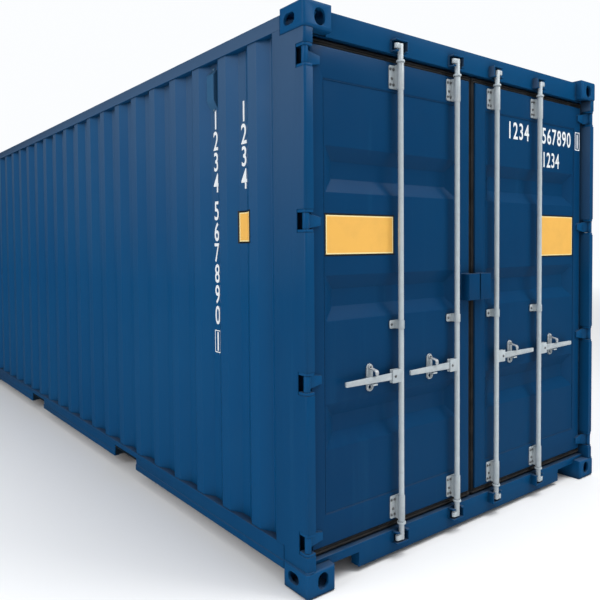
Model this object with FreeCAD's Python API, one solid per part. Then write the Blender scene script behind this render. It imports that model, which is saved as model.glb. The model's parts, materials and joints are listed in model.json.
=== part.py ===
"""Twenty-foot steel shipping container with cargo doors at both ends.

Millimetres.  The origin is on the ground at the middle of the container,
+Z is up, the container is long in Y and its working doors face -Y.
Depths are measured inward from an end plane, insets inward from a side plane.
"""
import FreeCAD, Part
import math
import os

from FreeCAD import Vector

os.makedirs("parts", exist_ok=True)

# ---------------------------------------------------------------- overall
LENGTH = 6058.0
WIDTH = 2438.0
HEIGHT = 2591.0

# corner castings
CASTING_LENGTH = 178.0
CASTING_WIDTH = 162.0
CASTING_HEIGHT = 118.0
CASTING_WALL = 16.0
CASTING_PLATE = 28.5
CASTING_ROUND = 14.0
LOCK_HOLE_LENGTH = 124.0
LOCK_HOLE_WIDTH = 63.5
LOCK_HOLE_FROM_SIDE = 89.5
LOCK_HOLE_FROM_END = 102.5
SIDE_HOLE_LENGTH = 79.5
SIDE_HOLE_HEIGHT = 51.0
END_HOLE_WIDTH = 60.0
END_HOLE_HEIGHT = 76.0

# corner posts
POST_INSET = 5.0
POST_WIDTH = 48.0
POST_WALL = 6.0
POST_ROUND = 12.0
POST_SIDE_LENGTH = 236.5

# side rails
TOP_RAIL_SIZE = 60.0
TOP_RAIL_WALL = 3.0
TOP_RAIL_DROP = 31.0
TOP_RAIL_INSET = 6.0
BOTTOM_RAIL_TOP = 185.0
BOTTOM_RAIL_BOTTOM = 75.0
BOTTOM_RAIL_WALL = 4.5
BOTTOM_RAIL_INSET = 8.0
RAIL_TOP_FLANGE = 48.0
RAIL_BOTTOM_FLANGE = 30.0
RAIL_STRIP_HEIGHT = 36.0
RAIL_STRIP_THICKNESS = 4.0

# corrugated side walls
SHEET = 2.0
WALL_LEDGE = 6.0
WALL_DEPTH = 36.0
WALL_OUTER_FLAT = 72.0
WALL_SLOPE = 68.0
WALL_INNER_FLAT = 67.0
WALL_FLANGE = 20.0

# roof
ROOF_RISE = 18.0
ROOF_PANELS = 26
ROOF_PANEL_BASE = 156.0
ROOF_PANEL_SLOPE = 22.0
ROOF_EDGE_FLAT = 62.0

# floor
FLOOR_THICKNESS = 28.0
FLOOR_BOARDS = 8
FLOOR_GAP = 2.0
FLOOR_END_GAP = 8.0
FLOOR_SIDE_GAP = 1.0
CROSS_FLANGE = 45.0
CROSS_WALL = 4.0
CROSS_HEIGHT = 64.0
CROSS_PITCH = 282.0
CROSS_POCKET_GAP = 5.0
POCKET_WIDTH = 360.0
POCKET_SPACING = 2050.0
POCKET_TOP = 150.0
POCKET_PLATE = 6.0

# end frames
FRAME_DEPTH = 48.0
FRAME_THICKNESS = 57.0
FRAME_PLATE = 5.0
HEADER_TOP_DROP = 11.0
DOORWAY_TOP = 2466.0
DOORWAY_BOTTOM = 138.0
SILL_BOTTOM = 24.0
SILL_CUT_WIDTH = 187.0
SILL_CUT_TOP = 95.0

# door leaves
LEAF_DEPTH = 60.0
LEAF_THICKNESS = 50.0
LEAF_TOP = 2430.0
LEAF_BOTTOM = 178.0
LEAF_CENTRE_GAP = 27.0
LEAF_POST_GAP = 25.0
LEAF_RAIL = 144.0
LOCK_STILE = 93.0
HINGE_STILE = 79.0
PANEL_SET_BACK = 4.0
PANEL_RECESS = 36.0
RECESS_HEIGHT = 208.0
RECESS_SLOPE = 64.0
RECESS_PITCH = 585.0
RECESS_COUNT = 3
RECESS_MARGIN = 8.0

# gaskets
GASKET_SET_BACK = 8.0
GASKET_THICKNESS = 40.0
GASKET_CLEARANCE = 5.5
GASKET_CENTRE_GAP = 4.5

# hinges
HINGE_INSET = 24.0
HINGE_DEPTH = 24.0
HINGE_HEIGHTS = (238.0, 945.0, 1651.0, 2358.0)
HINGE_CUT_HEIGHT = 102.0
HINGE_CUT_CLEARANCE = 4.0
PIN_RADIUS = 8.0
PIN_CLEARANCE = 0.1
KNUCKLE_RADIUS = 15.0
LUG_HEIGHT = 14.0
LUG_GAP = 1.0
LUG_INSET = 2.0
LUG_BACK_GAP = 1.0
BLADE_THICKNESS = 10.0
BLADE_BEND_GAP = 10.0
BLADE_BEND_STEP = 8.0
BLADE_END_INSET = 130.0
BLADE_END_HEIGHT = 36.0

# locking bars
BAR_PLACES = (605.0, 175.0)
BAR_DEPTH = 24.0
BAR_RADIUS = 13.6
BAR_CLEARANCE = 0.3
COLLAR_RADIUS = 21.5
COLLAR_HEIGHT = 9.0
COLLAR_GAP = 5.0
HOUSING_RADIUS = 16.8
HOUSING_HEIGHT = 126.0
TOP_HOUSING_BASE = 2294.0
BOTTOM_HOUSING_BASE = 184.0
BRACKET_WIDTH = 92.0
BRACKET_HEIGHT = 112.0
BRACKET_PLATE = 5.0
BRACKET_ROUND = 8.0
BRACKET_WEB = 24.0
GUIDE_HEIGHT = 1155.0
GUIDE_SIZE = 40.0

# cams and keepers
KEEPER_HEIGHT = 60.0
KEEPER_PLATE = 7.0
KEEPER_HALF_WIDTH = 44.0
KEEPER_FRONT = 10.0
KEEPER_SLOT = 24.0
TOP_KEEPER_BASE = 2471.0
BOTTOM_KEEPER_BASE = 76.0
CAM_HEIGHT = 24.0
CAM_REACH = 38.0
CAM_WIDTH = 22.0
CAM_GAP = 10.0

# handles
HANDLE_HEIGHT = 908.0
HANDLE_PIVOT = 50.0
HANDLE_REACH = 366.0
HANDLE_ROOT_WIDTH = 34.0
HANDLE_TIP_WIDTH = 23.0
HANDLE_THICKNESS = 10.0
HUB_HEIGHT = 64.0
HUB_PLATE = 6.0
HUB_REACH = 68.0
HUB_GAP = 0.4
RIVET_RADIUS = 6.0
RIVET_CLEARANCE = 0.1
HANDLE_TIP_ROUND = 4.0

# handle catches and hasps
CATCH_PLACE = 180.0
CATCH_WIDTH = 42.0
CATCH_HEIGHT = 132.0
CATCH_RISE = 5.0
CATCH_PLATE = 6.0
SHELF_CLEARANCE = 5.5
SHELF_THICKNESS = 8.0
SHELF_FRONT = 20.0
SHELF_WIDTH = 30.0
SEAL_HOLE_RADIUS = 9.0
SEAL_HOLE_RISE = 20.0
HASP_PIVOT_RISE = 56.0
HASP_PIN_RADIUS = 5.0
HASP_BOSS_RADIUS = 9.0
HASP_RADIUS = 12.0
HASP_FRONT = 7.0
HASP_THICKNESS = 5.0
HASP_HANDLE_GAP = 6.0
HASP_BOSS_HEIGHT = 2.0
HASP_WIDTH = 17.0
HASP_EYE_OVERLAP = 6.4
HASP_STEP_DROP = 1.0

# lock box
BOX_HALF_WIDTH = 96.0
BOX_BASE = 1243.0
BOX_HEIGHT = 142.0
BOX_PLATE = 4.0
BOX_FRONT = 4.0
BOX_CENTRE_GAP = 4.5

# ventilators
VENT_WIDTH = 92.0
VENT_HEIGHT = 200.0
VENT_THICKNESS = 26.0
VENT_BASE = 2268.0
VENT_TAB = 14.0
VENT_PLACE = 1.5

# ---------------------------------------------------------------- derived
END = LENGTH / 2
SIDE = WIDTH / 2
POST_INNER = SIDE - POST_INSET - POST_WIDTH
POST_END = END - CASTING_LENGTH
CASTING_INNER = SIDE - CASTING_WIDTH
HEADER_TOP = HEIGHT - HEADER_TOP_DROP
TOP_RAIL_TOP = HEIGHT - TOP_RAIL_DROP
TOP_RAIL_BASE = TOP_RAIL_TOP - TOP_RAIL_SIZE
RAIL_FACE = SIDE - BOTTOM_RAIL_INSET
WALL_FACE = RAIL_FACE - WALL_LEDGE
LEAF_FACE = END - LEAF_DEPTH
HINGE_CUT_FACE = LEAF_FACE - HINGE_CUT_CLEARANCE
PANEL_Y = -LEAF_FACE + PANEL_SET_BACK
CATCH_CENTRE = HANDLE_HEIGHT + CATCH_RISE
HASP_PIVOT_HEIGHT = HANDLE_HEIGHT + HASP_PIVOT_RISE
HASP_EYE_Y = PANEL_Y - CATCH_PLATE - HASP_BOSS_HEIGHT
LEAF_OUTER = POST_INNER - LEAF_POST_GAP
FLOOR_BASE = BOTTOM_RAIL_BOTTOM + CROSS_HEIGHT
FLOOR_TOP = FLOOR_BASE + FLOOR_THICKNESS
HINGE_X = SIDE - HINGE_INSET
HINGE_Y = -END + HINGE_DEPTH
BAR_Y = -END + BAR_DEPTH
FRAME_FACE = END - FRAME_DEPTH
POST_EDGE = END - POST_SIDE_LENGTH
HANDLE_TAPER = (HANDLE_ROOT_WIDTH - HANDLE_TIP_WIDTH) / (HANDLE_REACH - HANDLE_PIVOT)
HANDLE_WIDTH_AT_CATCH = HANDLE_ROOT_WIDTH - HANDLE_TAPER * (CATCH_PLACE - HANDLE_PIVOT)
WALL_PITCH = WALL_OUTER_FLAT + 2 * WALL_SLOPE + WALL_INNER_FLAT
WALL_SPARE = 2 * POST_EDGE - WALL_OUTER_FLAT - 4 * WALL_SLOPE
WALL_RIBS = int(WALL_SPARE // WALL_PITCH) + 1
FIRST_RIB = -(WALL_RIBS - 1) / 2 * WALL_PITCH


# ---------------------------------------------------------------- helpers
def box(x, y, z):
    """A box between the two values of each pair."""
    (x0, x1), (y0, y1), (z0, z1) = (sorted(pair) for pair in (x, y, z))
    return Part.makeBox(x1 - x0, y1 - y0, z1 - z0, Vector(x0, y0, z0))


def prism(points, direction):
    """A polygon extruded along a vector."""
    wire = Part.makePolygon([Vector(*p) for p in points + points[:1]])
    return Part.Face(wire).extrude(Vector(*direction))


def flat_prism(outline, z0, z1):
    """An outline in X and Y raised from z0 to z1."""
    return prism([(x, y, z0) for x, y in outline], (0, 0, z1 - z0))


def cylinder(radius, base, direction, height):
    return Part.makeCylinder(radius, height, Vector(*base), Vector(*direction))


def joined(pieces):
    """One solid from pieces that touch or cross."""
    whole = pieces[0]
    for piece in pieces[1:]:
        whole = whole.fuse(piece)
    return whole.removeSplitter()


def frustum(x, z, y_open, y_base, slope):
    """A tapered block, wide at y_open and narrower by slope at y_base."""
    wide = [(x[0], z[0]), (x[1], z[0]), (x[1], z[1]), (x[0], z[1])]
    narrow = [(x[0] + slope, z[0] + slope), (x[1] - slope, z[0] + slope),
              (x[1] - slope, z[1] - slope), (x[0] + slope, z[1] - slope)]
    wires = []
    for corners, y in ((wide, y_open), (narrow, y_base)):
        points = [Vector(px, y, pz) for px, pz in corners]
        wires.append(Part.makePolygon(points + points[:1]))
    return Part.makeLoft(wires, True, True)


def slot(centre, length_axis, width_axis, length, width, depth):
    """A stadium cutter, centred, with its round ends along length_axis."""
    along = Vector(*length_axis)
    across = Vector(*width_axis)
    normal = along.cross(across)
    middle = Vector(*centre)
    half = (length - width) / 2
    radius = width / 2
    corners = [middle + along * half * a + across * radius * b
               for a, b in ((-1, -1), (1, -1), (1, 1), (-1, 1))]
    tips = [middle + along * (half + radius), middle - along * (half + radius)]
    edges = [Part.LineSegment(corners[0], corners[1]).toShape(),
             Part.Arc(corners[1], tips[0], corners[2]).toShape(),
             Part.LineSegment(corners[2], corners[3]).toShape(),
             Part.Arc(corners[3], tips[1], corners[0]).toShape()]
    face = Part.Face(Part.Wire(edges))
    face.translate(normal * (-depth / 2))
    return face.extrude(normal * depth)


def mirror_x(shape):
    return shape.mirror(Vector(0, 0, 0), Vector(1, 0, 0))


def mirror_y(shape):
    return shape.mirror(Vector(0, 0, 0), Vector(0, 1, 0))


def far_end(shape):
    """The same piece at the other end, turned half round."""
    turned = shape.copy()
    turned.rotate(Vector(0, 0, 0), Vector(0, 0, 1), 180)
    return turned


def both_sides(shape):
    return [shape, mirror_x(shape)]


def both_ends(shapes):
    return list(shapes) + [far_end(shape) for shape in shapes]


def save(node, shapes):
    """Write one node; its solids do not touch each other."""
    solids = [solid for shape in shapes for solid in shape.Solids]
    body = solids[0] if len(solids) == 1 else Part.makeCompound(solids)
    body.exportStep("parts/%s.step" % node)
    volume = sum(solid.Volume for solid in solids) / 1e6
    print("%-26s %3d solids %10.3f litres" % (node, len(solids), volume))


# ---------------------------------------------------------------- castings
def corner_casting(is_top):
    """A hollow casting at the -X, -Y corner, with three lashing holes."""
    base = HEIGHT - CASTING_HEIGHT if is_top else 0.0
    top = base + CASTING_HEIGHT
    block = box((-SIDE, -CASTING_INNER), (-END, -POST_END), (base, top))
    outer_edges = [edge for edge in block.Edges
                   if edge.BoundBox.XMax < -SIDE + 1 or edge.BoundBox.YMax < -END + 1]
    block = block.makeFillet(CASTING_ROUND, outer_edges)
    floor = CASTING_WALL if is_top else CASTING_PLATE
    roof = CASTING_PLATE if is_top else CASTING_WALL
    cavity = box((-SIDE + CASTING_WALL, -CASTING_INNER - CASTING_WALL),
                 (-END + CASTING_WALL, -POST_END - CASTING_WALL / 2),
                 (base + floor, top - roof))
    hole_x = -SIDE + LOCK_HOLE_FROM_SIDE
    hole_y = -END + LOCK_HOLE_FROM_END
    open_z = top if is_top else base
    middle = (base + floor + top - roof) / 2
    lock_hole = slot((hole_x, hole_y, open_z), (0, 1, 0), (-1, 0, 0),
                     LOCK_HOLE_LENGTH, LOCK_HOLE_WIDTH, 2 * CASTING_PLATE + 2)
    side_hole = slot((-SIDE, hole_y, middle), (0, 1, 0), (0, 0, 1),
                     SIDE_HOLE_LENGTH, SIDE_HOLE_HEIGHT, 2 * CASTING_WALL + 2)
    end_hole = slot((hole_x, -END, middle), (0, 0, 1), (1, 0, 0),
                    END_HOLE_HEIGHT, END_HOLE_WIDTH, 2 * CASTING_WALL + 2)
    return block.cut(cavity).cut(lock_hole).cut(side_hole).cut(end_hole)


def corner_castings(is_top):
    pair = both_sides(corner_casting(is_top))
    return pair + [mirror_y(casting) for casting in pair]


# ---------------------------------------------------------------- posts
def corner_post():
    """A hollow pressed post at -X, -Y, cut open at each hinge."""
    z0, z1 = CASTING_HEIGHT, HEIGHT - CASTING_HEIGHT
    x0, x1 = -SIDE + POST_INSET, -POST_INNER
    y0, y1 = -END + POST_INSET, -POST_END
    outer = box((x0, x1), (y0, y1), (z0, z1))
    corner = [edge for edge in outer.Edges
              if edge.BoundBox.XMax < x0 + 1 and edge.BoundBox.YMax < y0 + 1]
    outer = outer.makeFillet(POST_ROUND, corner)
    hollow = box((x0 + POST_WALL, x1 - POST_WALL),
                 (y0 + POST_WALL, y1 - POST_WALL), (z0, z1))
    rails = (BOTTOM_RAIL_TOP, TOP_RAIL_BASE)
    skin = box((x0, x0 + POST_WALL), (y1 - POST_WALL, -POST_EDGE), rails)
    turn_in = box((x0, -WALL_FACE), (-POST_EDGE - POST_WALL, -POST_EDGE), rails)
    above = box((x0 - 1, x0 + POST_WALL + 1), (y0, y1), (z1, HEIGHT))
    post = joined([outer.cut(hollow), skin.cut(above), turn_in])
    half = HINGE_CUT_HEIGHT / 2
    for height in HINGE_HEIGHTS:
        opening = box((x0 - 1, x1 + 1), (y0 - 1, -HINGE_CUT_FACE),
                      (height - half, height + half))
        post = post.cut(opening)
    return post


def hinge_lugs(height):
    """Two lugs welded in a post's opening, with the hinge pin between."""
    half = HINGE_CUT_HEIGHT / 2
    inset = POST_INSET + LUG_INSET
    x0, x1 = -SIDE + inset, -POST_INNER - LUG_BACK_GAP
    y0, y1 = -END + inset, -HINGE_CUT_FACE - LUG_BACK_GAP
    pieces = []
    for base in (height - half, height + half - LUG_HEIGHT):
        lug = box((x0, x1), (y0, y1), (base, base + LUG_HEIGHT))
        corner = [edge for edge in lug.Edges
                  if edge.BoundBox.XMax < x0 + 1 and edge.BoundBox.YMax < y0 + 1]
        pieces.append(lug.makeFillet(KNUCKLE_RADIUS, corner))
    pin = cylinder(PIN_RADIUS, (-HINGE_X, HINGE_Y, height - half), (0, 0, 1), 2 * half)
    return joined(pieces + [pin])


def hinge_blade(height):
    """The door's half of a hinge: a knuckle and a tapering blade."""
    half = HINGE_CUT_HEIGHT / 2 - LUG_HEIGHT - LUG_GAP
    low, high = height - half, height + half
    knuckle = cylinder(KNUCKLE_RADIUS, (-HINGE_X, HINGE_Y, low), (0, 0, 1), 2 * half)
    bend = -POST_INNER + BLADE_BEND_GAP
    front = -LEAF_FACE - BLADE_THICKNESS
    tip = -SIDE + BLADE_END_INSET
    root = PIN_RADIUS + BLADE_THICKNESS / 2
    skew = root - BLADE_THICKNESS
    outline = [(-HINGE_X + skew, HINGE_Y + root), (-HINGE_X + root, HINGE_Y + skew),
               (bend, front), (tip, front), (tip, -LEAF_FACE),
               (bend - BLADE_BEND_STEP, -LEAF_FACE)]
    blade = flat_prism(outline, low, high)
    end = BLADE_END_HEIGHT / 2
    start = -HINGE_X + KNUCKLE_RADIUS
    taper = prism([(-SIDE, -END, low), (start, -END, low), (tip, -END, height - end),
                   (tip, -END, height + end), (start, -END, high), (-SIDE, -END, high)],
                  (0, LEAF_DEPTH, 0))
    bore = cylinder(PIN_RADIUS + PIN_CLEARANCE, (-HINGE_X, HINGE_Y, low - 1),
                    (0, 0, 1), 2 * half + 2)
    return joined([knuckle, blade.common(taper)]).cut(bore)


# ---------------------------------------------------------------- rails
def top_side_rail():
    """A square tube between the top castings."""
    x0 = -SIDE + TOP_RAIL_INSET
    tube = box((x0, x0 + TOP_RAIL_SIZE), (-POST_END, POST_END), (TOP_RAIL_BASE, TOP_RAIL_TOP))
    wall = TOP_RAIL_WALL
    hollow = box((x0 + wall, x0 + TOP_RAIL_SIZE - wall), (-POST_END, POST_END),
                 (TOP_RAIL_BASE + wall, TOP_RAIL_TOP - wall))
    return tube.cut(hollow)


def bottom_side_rail():
    """A channel with a doubling strip, cut open over the fork pockets."""
    x0, wall = -RAIL_FACE, BOTTOM_RAIL_WALL
    low, high = BOTTOM_RAIL_BOTTOM, BOTTOM_RAIL_TOP
    strip_top = low + RAIL_STRIP_HEIGHT
    strip_x = x0 - RAIL_STRIP_THICKNESS
    outline = [(strip_x, low), (x0 + RAIL_BOTTOM_FLANGE, low),
               (x0 + RAIL_BOTTOM_FLANGE, low + wall), (x0 + wall, low + wall),
               (x0 + wall, high - wall), (x0 + RAIL_TOP_FLANGE, high - wall),
               (x0 + RAIL_TOP_FLANGE, high), (x0, high), (x0, strip_top),
               (strip_x, strip_top)]
    rail = prism([(x, -POST_END, z) for x, z in outline], (0, 2 * POST_END, 0))
    for y in (-POCKET_SPACING / 2, POCKET_SPACING / 2):
        rail = rail.cut(box((-SIDE - 1, x0 + RAIL_TOP_FLANGE + 1),
                            (y - POCKET_WIDTH / 2, y + POCKET_WIDTH / 2),
                            (low - 1, POCKET_TOP)))
    return rail


# ---------------------------------------------------------------- walls and roof
def side_wall():
    """A vertically corrugated sheet between the rails at -X."""
    outer = [(-POST_EDGE - WALL_FLANGE, 0.0), (-POST_EDGE, 0.0),
             (-POST_EDGE + WALL_SLOPE, WALL_DEPTH)]
    half = WALL_OUTER_FLAT / 2
    for rib in range(WALL_RIBS):
        centre = FIRST_RIB + rib * WALL_PITCH
        outer += [(centre - half - WALL_SLOPE, WALL_DEPTH), (centre - half, 0.0),
                  (centre + half, 0.0), (centre + half + WALL_SLOPE, WALL_DEPTH)]
    outer += [(-y, depth) for y, depth in reversed(outer[:3])]
    inner = [(y, depth + SHEET) for y, depth in reversed(outer)]
    outline = [(-WALL_FACE + depth, y) for y, depth in outer + inner]
    return flat_prism(outline, BOTTOM_RAIL_TOP, TOP_RAIL_BASE)


def roof_panel():
    """One sheet on the top rails, with shallow raised panels across it."""
    low = TOP_RAIL_TOP
    half_x = SIDE - TOP_RAIL_INSET
    roof = box((-half_x, half_x), (-POST_END, POST_END), (low, low + SHEET))
    pitch = 2 * POST_END / ROOF_PANELS
    outer_x = half_x - ROOF_EDGE_FLAT
    for index in range(ROOF_PANELS):
        centre = -POST_END + (index + 0.5) * pitch
        raised = roof_frustum(outer_x, centre, low, low + ROOF_RISE + SHEET)
        under = roof_frustum(outer_x - SHEET, centre, low - 0.01, low + ROOF_RISE)
        roof = roof.fuse(raised).cut(under)
    return roof.removeSplitter()


def roof_frustum(half_x, centre, z_open, z_top):
    """A raised roof panel, wide at z_open."""
    half_y = ROOF_PANEL_BASE / 2 - (SIDE - TOP_RAIL_INSET - ROOF_EDGE_FLAT - half_x)
    wires = []
    for z, slope in ((z_open, 0.0), (z_top, ROOF_PANEL_SLOPE)):
        x, y = half_x - slope, half_y - slope
        corners = [(-x, -y), (x, -y), (x, y), (-x, y)]
        points = [Vector(px, centre + py, z) for px, py in corners]
        wires.append(Part.makePolygon(points + points[:1]))
    return Part.makeLoft(wires, True, True)


def roof_end_plate():
    """A plate that closes the roof between the top castings and the header."""
    return box((-CASTING_INNER, CASTING_INNER), (-FRAME_FACE + FRAME_THICKNESS, -POST_END),
               (TOP_RAIL_TOP, TOP_RAIL_TOP + SHEET))


# ---------------------------------------------------------------- floor
def floor_boards():
    """Plywood sheets side by side on the cross members."""
    end = LEAF_FACE - LEAF_THICKNESS - FLOOR_END_GAP
    half_x = POST_INNER - FLOOR_SIDE_GAP
    step = 2 * end / FLOOR_BOARDS
    boards = []
    for index in range(FLOOR_BOARDS):
        start = -end + index * step
        boards.append(box((-half_x, half_x), (start, start + step - FLOOR_GAP),
                          (FLOOR_BASE, FLOOR_TOP)))
    return boards


def cross_member_places():
    """Middles of the cross members, with none across a fork pocket."""
    last = FRAME_FACE - FRAME_THICKNESS - CROSS_FLANGE
    count = int(last // CROSS_PITCH)
    keep_out = POCKET_WIDTH / 2 + POCKET_PLATE + CROSS_FLANGE / 2 + CROSS_POCKET_GAP
    places = []
    for index in range(-count, count + 1):
        y = index * CROSS_PITCH
        if abs(abs(y) - POCKET_SPACING / 2) > keep_out:
            places.append(y)
    return places


def cross_member(y):
    """A channel from rail to rail under the floor."""
    x = RAIL_FACE - BOTTOM_RAIL_WALL
    low, high = BOTTOM_RAIL_BOTTOM + BOTTOM_RAIL_WALL, FLOOR_BASE
    y0, y1 = y - CROSS_FLANGE / 2, y + CROSS_FLANGE / 2
    web = box((-x, x), (y0, y0 + CROSS_WALL), (low, high))
    flanges = [box((-x, x), (y0, y1), (high - CROSS_WALL, high)),
               box((-x, x), (y0, y1), (low, low + CROSS_WALL))]
    return joined([web] + flanges)


def fork_pocket(y):
    """Side plates and a top plate across the container for a fork."""
    x = RAIL_FACE - BOTTOM_RAIL_WALL
    half, plate = POCKET_WIDTH / 2, POCKET_PLATE
    low = BOTTOM_RAIL_BOTTOM + BOTTOM_RAIL_WALL
    top_z = FLOOR_BASE - plate
    sides = [box((-x, x), (y - half - plate, y - half), (low, FLOOR_BASE)),
             box((-x, x), (y + half, y + half + plate), (low, FLOOR_BASE))]
    top = box((-x, x), (y - half, y + half), (top_z, FLOOR_BASE))
    return joined(sides + [top])


# ---------------------------------------------------------------- end frames
def end_header():
    """A boxed beam over the doorway between the top castings."""
    y0, y1 = -FRAME_FACE, -FRAME_FACE + FRAME_THICKNESS
    plate = FRAME_PLATE
    beam = box((-CASTING_INNER, CASTING_INNER), (y0, y1), (DOORWAY_TOP, HEADER_TOP))
    hollow = box((-CASTING_INNER, CASTING_INNER), (y0 + plate, y1 - plate),
                 (DOORWAY_TOP + plate, HEADER_TOP - plate))
    lip = box((-POST_INNER, POST_INNER), (-LEAF_FACE, y1),
              (DOORWAY_TOP, HEIGHT - CASTING_HEIGHT))
    return joined([beam.cut(hollow), lip])


def end_sill():
    """A boxed sill between the bottom castings, cut away beside them."""
    y0, y1 = -FRAME_FACE, -FRAME_FACE + FRAME_THICKNESS
    plate = FRAME_PLATE
    beam = box((-CASTING_INNER, CASTING_INNER), (y0, y1), (SILL_BOTTOM, DOORWAY_BOTTOM))
    lip = box((-POST_INNER, POST_INNER), (y0, y1), (CASTING_HEIGHT, DOORWAY_BOTTOM))
    sill = joined([beam, lip])
    inner = CASTING_INNER - SILL_CUT_WIDTH
    hollow = box((-inner + plate, inner - plate), (y0 + plate, y1 - plate),
                 (SILL_BOTTOM + plate, DOORWAY_BOTTOM - plate))
    sill = sill.cut(hollow)
    cut = box((inner, CASTING_INNER), (y0 - 1, y1 + 1), (SILL_BOTTOM - 1, SILL_CUT_TOP))
    for piece in both_sides(cut):
        sill = sill.cut(piece)
    return sill.removeSplitter()


def cam_keeper(place, is_top):
    """A C-shaped keeper round a bar's cam, open at the front."""
    away = 1.0 if place < 0 else -1.0
    base = TOP_KEEPER_BASE if is_top else BOTTOM_KEEPER_BASE
    y0, y1 = -END + KEEPER_FRONT, -FRAME_FACE
    top = base + KEEPER_HEIGHT
    slotted = base if is_top else top - KEEPER_PLATE
    whole = top - KEEPER_PLATE if is_top else base
    half = KEEPER_HALF_WIDTH
    lip = box((place - half, place + half), (y0, y1), (whole, whole + KEEPER_PLATE))
    forked = box((place - half, place + half), (y0, y1), (slotted, slotted + KEEPER_PLATE))
    gap = box((place - KEEPER_SLOT, place + KEEPER_SLOT), (y0 - 1, y1 + 1),
              (slotted - 1, slotted + KEEPER_PLATE + 1))
    cheek_outer = place + away * half
    cheek = box((cheek_outer - away * KEEPER_PLATE, cheek_outer), (y0, y1), (base, top))
    finger_side = place - away * half
    rib = box((finger_side, finger_side + away * KEEPER_PLATE),
              (y1 - KEEPER_PLATE, y1), (base, top))
    return joined([lip, forked.cut(gap), cheek, rib])


def cam_keepers():
    places = [side * place for place in BAR_PLACES for side in (-1, 1)]
    return [cam_keeper(place, is_top) for place in places for is_top in (True, False)]


# ---------------------------------------------------------------- door leaves
def door_leaf():
    """The left leaf: a welded frame with a sheet pressed in recesses."""
    x0, x1 = -LEAF_OUTER, -LEAF_CENTRE_GAP
    y0, y1 = -LEAF_FACE, -LEAF_FACE + LEAF_THICKNESS
    z0, z1 = LEAF_BOTTOM, LEAF_TOP
    open_x = (x0 + HINGE_STILE, x1 - LOCK_STILE)
    open_z = (z0 + LEAF_RAIL, z1 - LEAF_RAIL)
    frame = box((x0, x1), (y0, y1), (z0, z1)).cut(box(open_x, (y0 - 1, y1 + 1), open_z))
    sheet = box(open_x, (PANEL_Y, PANEL_Y + SHEET), open_z)
    leaf = frame.fuse(sheet)
    middle = (open_z[0] + open_z[1]) / 2
    recess_x = (open_x[0] + RECESS_MARGIN, open_x[1] - RECESS_MARGIN)
    half = RECESS_HEIGHT / 2
    for index in range(RECESS_COUNT):
        z = middle + (index - (RECESS_COUNT - 1) / 2) * RECESS_PITCH
        pan = frustum((recess_x[0] - SHEET, recess_x[1] + SHEET),
                      (z - half - SHEET, z + half + SHEET),
                      PANEL_Y, PANEL_Y + PANEL_RECESS + SHEET, RECESS_SLOPE)
        hollow = frustum(recess_x, (z - half, z + half),
                         PANEL_Y - 0.01, PANEL_Y + PANEL_RECESS, RECESS_SLOPE)
        leaf = leaf.fuse(pan).cut(hollow)
    return leaf.removeSplitter()


def door_gasket():
    """A rubber seal round the left leaf's edge."""
    x0, x1 = -POST_INNER + GASKET_CLEARANCE, -GASKET_CENTRE_GAP
    y0 = -LEAF_FACE + GASKET_SET_BACK
    z0, z1 = DOORWAY_BOTTOM + GASKET_CLEARANCE, DOORWAY_TOP - GASKET_CLEARANCE
    ring = box((x0, x1), (y0, y0 + GASKET_THICKNESS), (z0, z1))
    leaf = box((-LEAF_OUTER, -LEAF_CENTRE_GAP), (y0 - 1, y0 + GASKET_THICKNESS + 1),
               (LEAF_BOTTOM, LEAF_TOP))
    return ring.cut(leaf)


# ---------------------------------------------------------------- bars
def bar_housing(place, base):
    """A bearing tube on a bolted plate, welded to the leaf's face."""
    middle = base + HOUSING_HEIGHT / 2
    tube = cylinder(HOUSING_RADIUS, (place, BAR_Y, base), (0, 0, 1), HOUSING_HEIGHT)
    return bearing(place, tube, -LEAF_FACE, middle, BRACKET_HEIGHT)


def bar_guide(place):
    """A short guide for a bar at the middle of the leaf."""
    low = GUIDE_HEIGHT - GUIDE_SIZE / 2
    tube = cylinder(HOUSING_RADIUS, (place, BAR_Y, low), (0, 0, 1), GUIDE_SIZE)
    return bearing(place, tube, PANEL_Y, GUIDE_HEIGHT, GUIDE_SIZE)


def bearing(place, tube, seat, middle, height):
    """A tube joined by a web to the seat, with a plate on the leaf's face."""
    z = (middle - height / 2, middle + height / 2)
    plate = box((place - BRACKET_WIDTH / 2, place + BRACKET_WIDTH / 2),
                (-LEAF_FACE - BRACKET_PLATE, -LEAF_FACE), z)
    corners = [edge for edge in plate.Edges if edge.BoundBox.YLength > BRACKET_PLATE / 2]
    plate = plate.makeFillet(BRACKET_ROUND, corners)
    web = box((place - BRACKET_WEB / 2, place + BRACKET_WEB / 2), (BAR_Y, seat), z)
    bore = cylinder(BAR_RADIUS + BAR_CLEARANCE, (place, BAR_Y, middle - HOUSING_HEIGHT),
                    (0, 0, 1), 2 * HOUSING_HEIGHT)
    return joined([tube, web, plate]).cut(bore)


def bar_brackets(places):
    pieces = []
    for place in places:
        pieces += [bar_housing(place, TOP_HOUSING_BASE),
                   bar_housing(place, BOTTOM_HOUSING_BASE), bar_guide(place)]
    return pieces


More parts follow.
